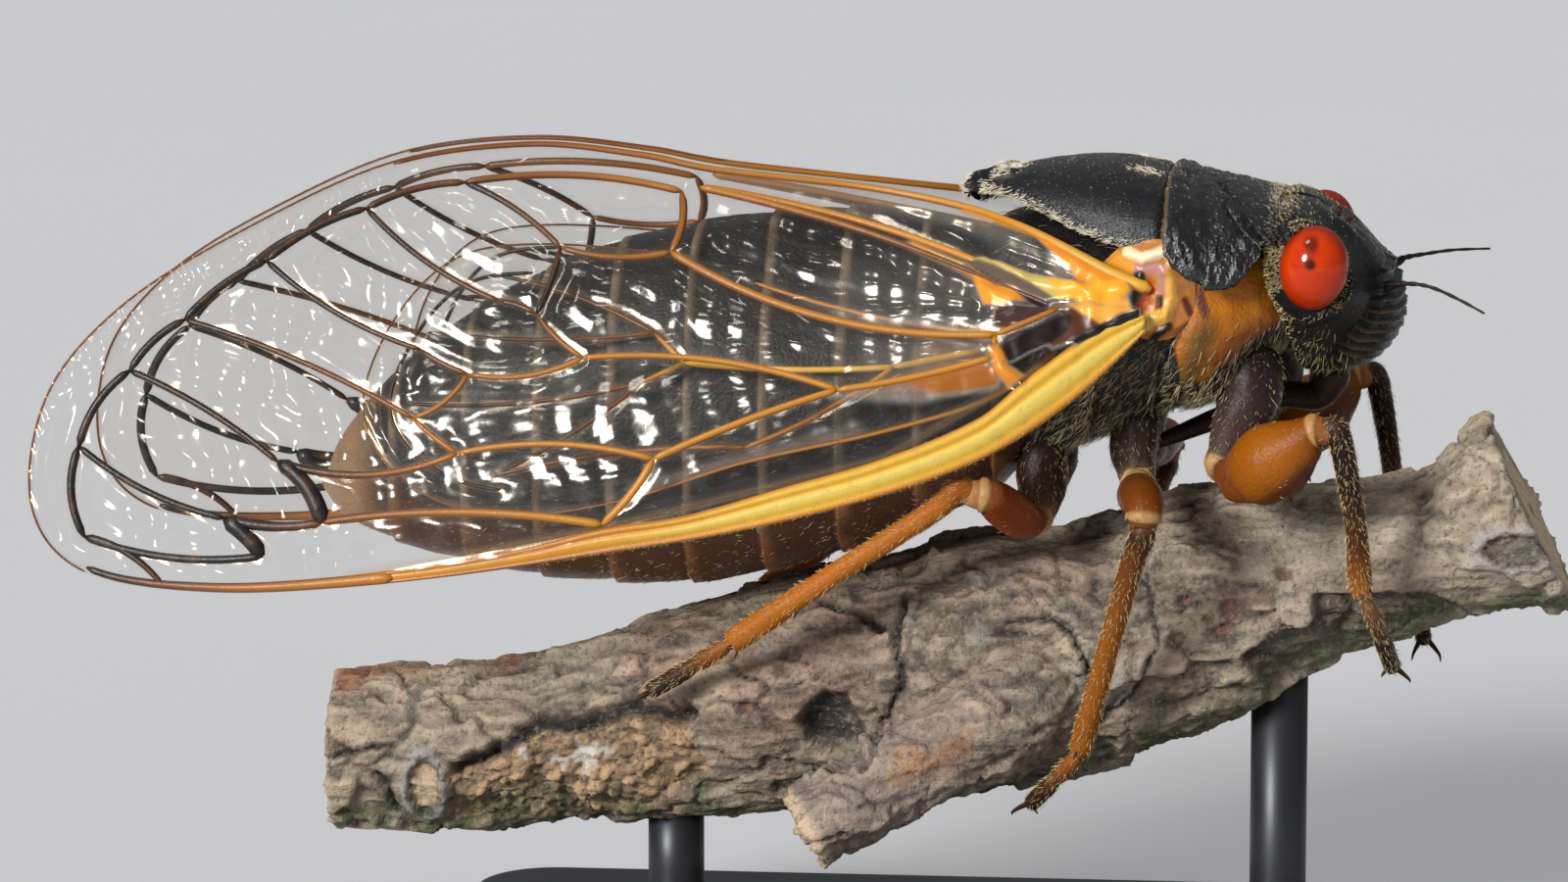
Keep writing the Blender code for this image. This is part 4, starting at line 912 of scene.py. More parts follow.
trunkShape = {
    "colour": (0.011, 0.01, 0.01),
    "grooves": [[(5.6, 20.4), (5.15, 17.8)], [(3.9, 20.3), (3.4, 17.0)], [(2.4, 19.6), (2.0, 16.6)],
                [(6.1, 18.8), (5.6, 17.5)]],
    "grooveDepth": 0.16,
    "rustMark": [(3.2, 21.6), (4.6, 20.4)],
    "hair": {
        "count": 9500, "seed": 51, "lie": (-0.7, 0, -0.7), "lengths": (0.18, 0.5),
        "widths": (0.008, 0.015), "rise": 0.35,
        "colours": [(0.38, 0.31, 0.15), (0.27, 0.2, 0.08), (0.6, 0.52, 0.32), (0.1, 0.08, 0.03)],
    },
}


def makeTrunk():
    xs = np.linspace(0.3, 9.0, 180)
    form = fromRings(loft(xs, *sectionValues(bodyShape["trunk"], xs), 210, (0.7, 0.55, 0.85)))
    painted(form, trunkShape["colour"])
    flat = sideView(form)
    x, y, z = form.points.T
    outside = ease(1.6, 2.6, np.abs(y))
    patch = region(flat, neckPatch["outline"], 0.08) * outside
    fold = cloud(form.points * (0.5, 1, 1.8), 0.55, 3, 14)
    blend(form, patch, neckPatch["amber"])
    bright = patch * ease(-0.1, 0.5, fold) * ease(6.7, 7.3, x) * ease(20.2, 20.8, z)
    blend(form, bright, neckPatch["bright"])
    for path, half, soft, strength, colour in neckPatch["marks"]:
        blend(form, patch * streak(flat, path, half, soft) * strength, colour)
    blend(form, streak(flat, trunkShape["rustMark"], 0.25, 0.15) * outside * 0.8, (0.25, 0.07, 0.02))
    lift = 0.06 * cloud(form.points, 1.3, 3, 5) + 0.02 * cloud(form.points, 0.3, 2, 6)
    lift = lift + patch * (neckPatch["relief"] + 0.06 * fold)
    for groove in trunkShape["grooves"]:
        dent = trunkShape["grooveDepth"] * streak(flat, groove, 0.1, 0.1)
        lift = lift - dent * ease(1.0, 2.0, np.abs(y))
    for sx, sy, sz, reach in bodyShape["legSockets"]:
        away = np.linalg.norm(np.stack([x - sx, np.abs(y) - sy, z - sz], axis=1), axis=1)
        lift = lift + 0.3 * np.exp(-(away / reach) ** 2)
    form.push(lift)
    makePiece("bodySkin", form, skinFinish(), ["thorax", "prothorax"])

    def thick(points):  # where the long pale hair grows
        px, py, pz = points.T
        shape = sideView(Form(points))
        bald = region(shape, neckPatch["outline"], 0.1) * (0.75 + 0.23 * ease(19.4, 20.2, pz))
        under = 1 - ease(21.0, 22.0, pz)
        sides = 0.5 + 0.5 * ease(0.5, 2.0, np.abs(py))
        return (0.15 + under) * (1 - bald) * ease(0.4, 1.0, px) * sides
    coat = hairs(form, thick, **trunkShape["hair"])
    makePiece("bodyHair", coat, hairFinish("bodyHair"), ["thorax", "prothorax"])
    print("trunk made")


hingeShape = {  # the soft plate between the wing root and the thorax, in the side view
    "ends": (3.7, 6.45),
    "upper": [(3.7, 22.1), (4.3, 22.65), (4.8, 22.8), (5.4, 22.85), (5.9, 22.6), (6.45, 22.0)],
    "lower": [(3.7, 21.0), (4.3, 20.5), (4.9, 20.1), (5.6, 20.1), (6.1, 20.4), (6.45, 20.9)],
    "spread": [(3.7, 3.95), (4.4, 4.4), (5.1, 4.6), (5.7, 4.55), (6.45, 4.2)],
    "colour": (0.46, 0.17, 0.035),
    "marks": [  # path, half width, height, colour
        ([(4.0, 22.35), (4.5, 22.17)], 0.2, 0.05, (0.7, 0.28, 0.03)),
        ([(5.48, 22.65), (5.69, 22.24), (5.49, 22.03)], 0.13, 0.1, (0.55, 0.33, 0.12)),
        ([(4.77, 22.1), (5.38, 22.1), (5.44, 21.51)], 0.15, 0.04, (0.42, 0.19, 0.15)),
        ([(5.64, 21.92), (5.68, 21.3), (5.5, 20.73)], 0.17, 0.1, (0.66, 0.33, 0.06)),
        ([(5.08, 21.66), (4.96, 21.2), (4.72, 20.87)], 0.13, -0.08, (0.5, 0.09, 0.008)),
        ([(4.79, 21.86), (4.67, 21.34), (4.41, 20.92)], 0.17, 0.16, (0.007, 0.007, 0.009)),
        ([(5.34, 21.3), (5.33, 20.92)], 0.08, 0.1, (0.05, 0.015, 0.03)),
        ([(6.01, 21.2), (6.16, 20.84)], 0.1, 0.05, (0.1, 0.02, 0.008)),
        ([(5.5, 20.85), (5.14, 20.7), (4.8, 20.4)], 0.2, 0.14, (0.66, 0.38, 0.06)),
        ([(4.45, 22.5), (4.87, 22.36), (5.43, 22.56)], 0.15, 0.16, (0.88, 0.7, 0.42)),
        ([(5.6, 20.5), (5.3, 20.25), (5.0, 19.9)], 0.12, 0.1, (0.01, 0.01, 0.01)),
    ],
}


def makeHinges():
    finish = shellFinish("hingeShell", 0.2)
    xs, v = np.linspace(*hingeShape["ends"], 110), np.linspace(0, 1, 90)
    low = lineValue(hingeShape["lower"], xs)[:, None]
    high = lineValue(hingeShape["upper"], xs)[:, None]
    across = np.repeat(xs, len(v))
    flat = np.stack([across, (low + (high - low) * v).ravel()], axis=1)
    edge = np.tile(np.minimum(v, 1 - v) * 2.5, len(xs))
    edge = np.minimum(edge, np.minimum(across - xs[0], xs[-1] - across) * 2)
    lift = lineValue(hingeShape["spread"], across) - 0.3 * (1 - ease(0, 0.3, edge))
    rows = np.stack([flat[:, 0], lift, flat[:, 1]], axis=1)
    lift = lift + 0.035 * cloud(rows, 0.35, 3, 9)
    for path, half, height, _ in hingeShape["marks"]:
        lift = lift + height * np.exp(-(toPath(flat, path) / half) ** 2)
    front = np.stack([flat[:, 0], lift, flat[:, 1]], axis=1).reshape(len(xs), len(v), 3)
    back = front[:, ::-8] * (1, 0, 1) + np.minimum(front[:, ::-8] * (0, 1, 0), (0, 3.9, 0))
    form = painted(fromRings(np.concatenate([front, back], axis=1)), hingeShape["colour"])
    ragged = sideView(form, 0.03)
    for path, half, _, colour in hingeShape["marks"]:
        blend(form, streak(ragged, path, half, 0.06), colour)
    for label, side, _ in sidesOfBody:
        plate = form if side > 0 else form.mirrored()
        makePiece(f"wingHinge{label}", plate, finish, ["thorax"])
    print("hinges made")


def skinFinish():
    f = Finish("bodySkin")
    grain = f.noise(0.1, 5.0)
    broad = f.noise(0.9, 3.0)
    colour = f.mix(grain.above(0.45, 0.75) * 0.2, f.tag("tint"), (0.09, 0.06, 0.035))
    bump = f.bump(grain, 0.045, 1.0, f.bump(broad, 0.1, 0.6))
    return f.done(f.skin(Base_Color=colour, Roughness=0.2 + grain * 0.24, Specular_IOR_Level=0.3,
                         Normal=bump))


def shellFinish(name, gloss, rough=1.0, sheen=0.4):
    f = Finish(name)
    speckle = f.noise(0.08, 4.0)
    wrinkle = f.noise(0.3, 3.0)
    colour = f.mix(speckle.above(0.6, 0.85) * 0.15, f.tag("tint"), (0.09, 0.07, 0.05))
    bump = f.bump(speckle, 0.014 * rough, 1.0, f.bump(wrinkle, 0.03, 0.5))
    return f.done(f.skin(Base_Color=colour, Roughness=gloss + speckle * 0.14, Specular_IOR_Level=sheen,
                         Normal=bump))


plateShape = {
    "thickness": 0.5,
    "pronotumEnds": (5.4, 8.62),
    "pronotumColour": (0.006, 0.006, 0.007),
    "pronotumHair": {
        "count": 4800, "seed": 52, "lie": (-1, 0, -0.3), "lengths": (0.05, 0.15),
        "widths": (0.005, 0.009), "rise": 0.35,
        "colours": [(0.62, 0.54, 0.34), (0.4, 0.31, 0.16), (0.8, 0.74, 0.56)],
    },
    "mesonotumEnds": (-0.3, 5.42),
    "mesonotumColour": (0.005, 0.005, 0.006),
    "creamHair": {
        "count": 5600, "seed": 53, "lie": (-1, 0, -0.3), "lengths": (0.1, 0.26),
        "widths": (0.01, 0.017), "rise": 0.3,
        "colours": [(0.88, 0.8, 0.62), (0.95, 0.9, 0.76), (0.75, 0.6, 0.36)],
    },
    "shortHair": {
        "count": 4200, "seed": 54, "lie": (-1, 0, -0.2), "lengths": (0.03, 0.09),
        "widths": (0.005, 0.008), "rise": 0.35,
        "colours": [(0.62, 0.54, 0.34), (0.4, 0.31, 0.16), (0.8, 0.74, 0.56)],
    },
}


def makePronotum():
    xs = np.linspace(*plateShape["pronotumEnds"], 130)
    form = fromRings(plateRings(bodyShape["pronotum"], xs, 240, plateShape["thickness"]))
    painted(form, plateShape["pronotumColour"])
    x, y, z = form.points.T
    above = np.stack([x, np.abs(y)], axis=1)
    side = form.points[:, [0, 2]]
    far = ease(2.5, 3.6, np.abs(y))
    grooves = 0.2 * bell(toPath(above, [(6.9, 1.2), (7.5, 3.0), (8.1, 3.9)]), 0.13) * (1 - far)
    grooves += 0.22 * bell(toPath(side, [(7.1, 23.7), (7.8, 23.0), (8.4, 22.5)]), 0.1) * far
    grooves += 0.12 * bell(toPath(above, [(6.0, 0.9), (6.4, 2.6), (6.7, 4.2)]), 0.2)
    ridge = 0.16 * bell(toPath(side, [(7.25, 23.8), (7.98, 23.1), (8.5, 22.65)]), 0.08) * far
    lobe = ease(23.4, 22.5, z) * far
    wrinkled = cloud(form.points * (1.5, 1, 0.6), 0.3, 4, 13) * (0.06 + 0.1 * lobe)
    form.push(0.06 * cloud(form.points, 1.0, 3, 11) + wrinkled - grooves + ridge)
    blend(form, ease(5.56, 5.48, x) * 0.3, (0.3, 0.2, 0.1))
    shell = shellFinish("pronotumShell", 0.07, 2.8, 0.8)
    makePiece("pronotumPlate", form, shell, ["pronotum"])

    def frontEdge(points):
        return (points[:, 2] > 21.9) * (0.2 + 3.0 * ease(8.1, 8.5, points[:, 0]))
    coat = hairs(form, frontEdge, **plateShape["pronotumHair"])
    makePiece("pronotumHair", coat, hairFinish("pronotumHair"), ["pronotum"])
    print("pronotum made")


def makeMesonotum():
    xs = np.linspace(*plateShape["mesonotumEnds"], 130)
    form = fromRings(plateRings(bodyShape["mesonotum"], xs, 200, plateShape["thickness"]))
    painted(form, plateShape["mesonotumColour"])
    x, y, _ = form.points.T
    cross = np.hypot((x - 0.35) / 1.1, y / 1.3)
    crossRidge = np.minimum(np.abs(np.abs(y) * 0.8 - np.abs(x - 0.35)), 0.5)
    form.push(0.17 * bell(crossRidge, 0.17) * (1 - ease(0.7, 1.1, cross))
              + 0.022 * cloud(form.points, 0.4, 3, 12))
    shell = shellFinish("mesonotumShell", 0.15, 3.2, 0.55)
    makePiece("mesonotumPlate", form, shell, ["mesonotum"])

    def overEdge(points):  # height over the plate's side edge
        return points[:, 2] - lineValue([(r[0], r[2]) for r in bodyShape["mesonotum"]], points[:, 0])

    def creamEdge(points):
        px, py, _ = points.T
        rim = 1 - ease(0.12, 0.34, overEdge(points))
        nook = np.exp(-((px - 0.9) / 0.35) ** 2 - ((np.abs(py) - 0.5) / 0.4) ** 2)
        tuft = np.exp(-((px - 4.9) / 0.3) ** 2 - ((np.abs(py) - 1.6) / 0.35) ** 2)
        return rim * (px > 0.2) + nook * 1.4 + tuft * 0.8 + ease(-0.1, -0.25, px)

    def upperSide(points):
        return (overEdge(points) > 0) * 1.0
    coat = merged([hairs(form, creamEdge, **plateShape["creamHair"]),
                   hairs(form, upperSide, **plateShape["shortHair"])])
    makePiece("mesonotumHair", coat, hairFinish("mesonotumHair"), ["mesonotum"])
    print("mesonotum made")


abdomenShape = {
    "ends": (-18.75, 1.6),
    "firstRing": 0.65,
    "ringsLength": 19.3,
    "wingGap": 1.35,
    "colour": (0.014, 0.013, 0.013),
    "paleBand": (0.24, 0.175, 0.11),
    "underside": (0.1, 0.034, 0.012),
    "underBand": (0.3, 0.11, 0.025),
    "tipColour": (0.3, 0.18, 0.09),
    "hair": {
        "count": 4500, "seed": 55, "lie": (-1, 0, -0.1), "lengths": (0.08, 0.25),
        "widths": (0.006, 0.012), "rise": 0.25, "colours": [(0.45, 0.34, 0.18), (0.6, 0.5, 0.3)],
    },
}


def makeAbdomen():
    def ringPart(x):  # 0 at a segment's front edge, 1 at its back edge
        span = (abdomenShape["firstRing"] - x) / abdomenShape["ringsLength"] * bodyShape["segments"]
        return span - np.floor(span)
    xs = np.linspace(*abdomenShape["ends"], 270)
    top, bottom, half = sectionValues(bodyShape["abdomen"], xs)
    wide = bottom + (top - bottom) * 0.42
    swell = bodyShape["segmentSwell"] * (ringPart(xs) ** 0.8 - 0.75) * ease(-18.6, -17.0, xs)
    swell = swell[:, None]
    tip = np.sqrt(np.clip(1 - np.clip((-18.2 - xs) / 0.55, 0, 1) ** 2, 0, 1))[:, None]
    middle = (top + bottom) / 2
    half = (half + swell) * tip
    top = middle + (top - middle + swell) * tip
    bottom = middle - (middle - bottom + swell) * tip
    rings = loft(xs, top, bottom, half, wide, 120, (0.75, 0.85, 0.8))
    limit = wingSpread(rings[:, :, 0].ravel(), rings[:, :, 2].ravel()).reshape(rings.shape[:2])
    limit = np.maximum(limit - abdomenShape["wingGap"], 0.15)
    limit = np.where(rings[:, :, 0] > 0.5, 9.0, limit)
    rings[:, :, 1] = np.clip(rings[:, :, 1], -limit, limit)
    form = painted(fromRings(rings), abdomenShape["colour"])
    x, _, z = form.points.T
    part = ringPart(x)
    height = (z - lineValue([(r[0], r[2]) for r in bodyShape["abdomen"]], x)) / 9
    under = ease(0.3, 0.1, height)
    broken = ease(-0.5, 0.5, cloud(form.points, 0.7, 3, 23))
    blend(form, ease(0.84, 0.95, part) * (0.35 + 0.65 * broken) * 0.75, abdomenShape["paleBand"])
    blend(form, under * 0.75, abdomenShape["underside"])
    blend(form, under * ease(0.75, 0.93, part) * broken * 0.8, abdomenShape["underBand"])
    blend(form, ease(-16.6, -17.8, x) * ease(0.8, 0.5, height) * 0.85, abdomenShape["tipColour"])
    form.push(0.03 * cloud(form.points, 0.5, 3, 21))
    makePiece("abdomenSkin", form, skinFinish(), ["abdomen"])

    def lowSide(points):
        return 0.3 + ease(16.5, 14.5, points[:, 2])
    coat = hairs(form, lowSide, **abdomenShape["hair"])
    makePiece("abdomenHair", coat, hairFinish("abdomenHair"), ["abdomen"])
    print("abdomen made")


# Head, eyes, feelers and beak

headShape = {
    "outline": [(8.25, 23.3), (8.7, 23.62), (9.3, 23.6), (9.9, 23.3), (10.5, 22.85), (11.1, 22.4),
                (11.5, 21.8), (11.8, 21.1), (11.84, 20.4), (11.6, 19.8), (11.1, 19.25), (10.3, 18.9),
                (9.4, 18.75), (8.8, 19.3), (8.4, 20.3), (8.25, 21.5)],
    "sections": [  # y, reach forward, height above and below the middle
        (0.0, 1.0, 1.0, 1.0), (0.8, 0.985, 1.0, 0.985), (1.5, 0.94, 0.99, 0.93),
        (2.05, 0.85, 0.98, 0.8), (2.7, 0.76, 0.96, 0.66), (3.4, 0.66, 0.9, 0.5),
        (4.1, 0.5, 0.75, 0.36)],
    "middleHeight": 21.9,
    "backPlane": 8.65,
    "eyeCentre": (9.55, 4.1, 22.1),
    "eyeRadii": (0.95, 0.88, 1.17),
    "eyeTilt": 7.0,
    "ridgeSpacing": 0.3,
    "colour": (0.006, 0.006, 0.006),
    "ridgeColour": (0.16, 0.09, 0.04),
    "ocelli": [(10.4, 0.0, 22.93), (10.1, -0.45, 23.17), (10.1, 0.45, 23.17)],
    "ocellusRadii": (0.12, 0.12, 0.09),
}
headHair = {
    "golden": {
        "count": 5600, "seed": 61, "lie": (-0.6, 0, -0.25), "lengths": (0.07, 0.17),
        "widths": (0.008, 0.013), "rise": 0.6,
        "colours": [(0.78, 0.64, 0.3), (0.58, 0.45, 0.16), (0.85, 0.77, 0.5), (0.3, 0.22, 0.08)],
    },
    "short": {
        "count": 3400, "seed": 63, "lie": (-0.8, 0, -0.35), "lengths": (0.04, 0.11),
        "widths": (0.004, 0.007), "rise": 0.35,
        "colours": [(0.36, 0.32, 0.14), (0.56, 0.5, 0.26), (0.12, 0.1, 0.04)],
    },
    "cheek": {
        "count": 500, "seed": 62, "lie": (-0.3, 0, -1), "lengths": (0.15, 0.4),
        "widths": (0.005, 0.009), "rise": 0.6, "colours": [(0.58, 0.45, 0.16), (0.3, 0.22, 0.08)],
    },
}


def tilted(points, degrees):  # turned about the y axis, the front end up
    angle = math.radians(degrees)
    x, y, z = points.T
    return np.stack([x * math.cos(angle) - z * math.sin(angle), y,
                     x * math.sin(angle) + z * math.cos(angle)], axis=1)


def fromEye(points):  # distance from the nearer eye's centre, 1 on its surface
    x, y, z = points.T
    offset = np.stack([x, np.abs(y), z], axis=1) - headShape["eyeCentre"]
    return np.linalg.norm(tilted(offset, headShape["eyeTilt"]) / headShape["eyeRadii"], axis=1)


def makeHead():
    outline = evenly(curveThrough(headShape["outline"], 20, closed=True), 0.07)
    across = np.linspace(-4.1, 4.1, 150)
    forward, up, down = sectionValues(headShape["sections"], np.abs(across))
    back, middle = headShape["backPlane"], headShape["middleHeight"]
    x = back + (outline[None, :, 0] - back) * np.where(outline[None, :, 0] > back, forward, 1)
    z = middle + (outline[None, :, 1] - middle) * np.where(outline[None, :, 1] > middle, up, down)
    rings = np.stack([x, np.broadcast_to(across[:, None], x.shape), z], axis=2)
    form = painted(fromRings(rings), headShape["colour"])
    x, y, z = form.points.T
    wide = np.abs(y)
    eye = fromEye(form.points)
    front = ease(-0.15, 0.35, (x - 10.05) * 0.9 - (z - 19.2) * 0.36)
    face = (1 - ease(2.3, 2.8, wide)) * front * ease(22.3, 21.7, z)
    rim = bell(wide - 2.62, 0.13) * front * ease(22.0, 21.5, z)
    ridges = np.sin(2 * math.pi * (z + 0.33 * x + 0.12 * wide) / headShape["ridgeSpacing"])
    lift = 0.035 * cloud(form.points, 0.7, 3, 31) + 0.012 * cloud(form.points, 0.18, 2, 32)
    # ridges of the face, its middle line and the groove at its side
    lift = lift + face * (0.15 + 0.075 * ridges * ease(2.8, 2.6, wide) * ease(0.12, 0.4, wide))
    lift = lift - 0.1 * bell(wide, 0.1) * face - 0.14 * rim
    # a rim round the eye, a knob over each feeler, two humps on the crown and its middle line
    lift = lift + 0.15 * bell(eye - 1.15, 0.08) - 0.08 * bell(eye - 1.0, 0.06)
    lift = lift + 0.2 * bell(x - 11.25, 0.4) * bell(z - 21.75, 0.25) * bell(wide - 2.0, 0.45)
    lift = lift + 0.13 * bell(wide - 1.6, 0.5) * bell(x - 10.3, 0.5) * ease(22.3, 22.8, z)
    lift = lift - 0.1 * bell(wide, 0.12) * ease(22.9, 23.3, z)
    form.push(lift)
    ridgeTops = face * ease(0.3, 0.95, ridges) * ease(21.2, 20.6, z) * ease(1.2, 2.0, wide)
    blend(form, ridgeTops * 0.6, headShape["ridgeColour"])
    makePiece("headShell", form, shellFinish("headShell", 0.1, 2.4, 0.16), ["head"])
    ocelli = merged([ball(spot, headShape["ocellusRadii"], 24, 16) for spot in headShape["ocelli"]])
    makePiece("ocelli", ocelli, ocellusFinish(), ["head"])

    def roundEye(points):
        px, _, pz = points.T
        far = fromEye(points)
        rimHair = bell(far - 1.12, 0.09) * (1.8 + 2.6 * ease(9.6, 9.0, px) * (pz > 21.5))
        nape = ease(9.3, 8.6, px) * 0.4
        return (far > 1.03) * (rimHair + nape + 0.03 * ease(22.6, 23.0, pz))

    def allOver(points):
        return (fromEye(points) > 1.03) * (0.35 + 0.6 * ease(22.3, 22.9, points[:, 2]))

    def lowFace(points):
        return ease(20.6, 19.2, points[:, 2]) * ease(10.9, 9.6, points[:, 0])
    coat = merged([hairs(form, roundEye, **headHair["golden"]),
                   hairs(form, allOver, **headHair["short"]),
                   hairs(form, lowFace, **headHair["cheek"])])
    makePiece("headHair", coat, hairFinish("headHair"), ["head"])
    print("head made")


def ball(centre, radii, around=48, up=32):
    rise = np.linspace(-math.pi / 2, math.pi / 2, up)[1:-1, None]
    turn = np.linspace(0, 2 * math.pi, around, endpoint=False)[None]
    rings = np.stack([np.cos(rise) * np.cos(turn), np.cos(rise) * np.sin(turn),
                      np.sin(rise) + 0 * turn], axis=2)
    return fromRings(rings * np.array(radii) + np.array(centre))


def ocellusFinish():
    f = Finish("ocellus")
    colour = f.mix(f.noise(0.05), (0.03, 0.004, 0.003), (0.06, 0.008, 0.005))
    return f.done(f.skin(Base_Color=colour, Roughness=0.12))


eyeColours = {
    "deep": (0.43, 0.022, 0.0),
    "bright": (0.5, 0.036, 0.0),
    # painted shade: the rim of the eye, where it turns in towards the head, is darker
    "outer": (0.24, 0.01, 0.0),
    # painted shade: the lower part of the eye is darker
    "lower": (0.26, 0.016, 0.0),
    "spot": (0.03, 0.004, 0.002),
    "spots": [  # place from the eye's centre, reach, depth
        (-0.08, 0.2, 0.15, 0.95), (-0.06, 0.74, 0.2, 0.75), (-0.07, 0.47, 0.12, 0.3)],
}


def eyeFinish(label):
    f = Finish(f"eyeRed{label}")
    mottle = f.noise(0.6, 3.0)
    colour = f.mix(mottle.above(0.35, 0.7), eyeColours["deep"], eyeColours["bright"])
    # painted shade round the eye's rim, on the side towards the head
    colour = f.mix(abs(f.y).above(4.75, 4.2), colour, eyeColours["outer"])
    # painted shade over the lower part of the eye
    colour = f.mix(f.z.above(22.2, 21.2) * 0.45, colour, eyeColours["lower"])
    for dx, dz, reach, depth in eyeColours["spots"]:
        cx, cz = headShape["eyeCentre"][0] + dx, headShape["eyeCentre"][2] + dz
        away = ((f.x - cx) ** 2.0 + (f.z - cz) ** 2.0) ** 0.5
        colour = f.mix(away.above(reach * 1.5, reach * 0.5) * depth, colour, eyeColours["spot"])
    facets = f.node("ShaderNodeTexVoronoi", {"feature": "DISTANCE_TO_EDGE"},
                    {"Vector": f.spot, "Scale": 28.0})
    return f.done(f.skin(Base_Color=colour, Roughness=0.4, Specular_IOR_Level=0.05, Coat_Weight=0.5,
                         Coat_Roughness=0.02, Normal=f.bump(facets.above(0.0, 0.25), 0.001)))


def makeEyes():
    for label, side, node in sidesOfBody:
        form = ball((0, 0, 0), headShape["eyeRadii"], 90, 66)
        turned = tilted(form.points, -headShape["eyeTilt"])
        form.points = turned + np.array(headShape["eyeCentre"]) * (1, side, 1)
        makePiece(f"eye{label}", form, eyeFinish(label), [f"eye_{node}"])
    print("eyes made")


feelers = {
    "right": [(11.45, 2.0, 21.3, 0.16), (11.75, 2.1, 21.4, 0.13), (11.95, 2.2, 21.44, 0.08),
              (12.4, 2.38, 21.45, 0.055), (12.9, 2.6, 21.35, 0.05), (13.6, 2.9, 21.07, 0.045),
              (14.2, 3.15, 20.78, 0.03)],
    "left": [(11.45, 2.0, 21.4, 0.16), (11.75, 2.1, 21.5, 0.13), (11.95, 2.2, 21.6, 0.08),
             (12.5, 2.5, 21.67, 0.055), (13.3, 2.9, 21.74, 0.045), (14.3, 3.3, 21.74, 0.03)],
}
beak = [(9.9, 0.0, 18.5, 0.6), (9.55, 0.0, 17.95, 0.42), (8.6, 0.0, 17.95, 0.38), (7.6, 0.0, 17.6, 0.33),
        (6.4, 0.0, 17.1, 0.3), (5.0, 0.0, 16.5, 0.2)]


def limb(rows, perPiece, sides, waists=None):  # waists: changes of its thickness along it
    line = curveThrough(rows, perPiece)
    radii = np.maximum(line[:, 3], 0.01)
    if waists:
        radii = radii * waists(np.linspace(0, 1, len(radii)))
    return tube(line[:, :3], radii, sides)


def legFinish(name):
    f = Finish(name)
    grain = f.noise(0.12, 4.0)
    colour = f.mix(grain.above(0.45, 0.75) * 0.35, f.tag("tint"), (0.1, 0.03, 0.005))
    bump = f.bump(grain, 0.03)
    return f.done(f.skin(Base_Color=colour, Roughness=0.2 + grain * 0.25, Specular_IOR_Level=0.14,
                         Normal=bump))


def feelerRings(along):
    return 1 + 0.12 * np.sin(along * 60) * (along > 0.3)


def makeFeelers():
    finish = legFinish("feeler")
    for label, side, node in sidesOfBody:
        form = painted(limb(feelers[node], 20, 14, feelerRings), (0.012, 0.01, 0.009))
        form = form if side > 0 else form.mirrored()
        makePiece(f"feeler{label}", form, finish, [f"antenna_{node}"])
    form = painted(limb(beak, 14, 28), (0.02, 0.012, 0.008))
    form.push(-0.09 * bell(form.points[:, 1], 0.05))
    makePiece("beak", form, finish, ["rostrum"])
    print("feelers and beak made")


# Legs

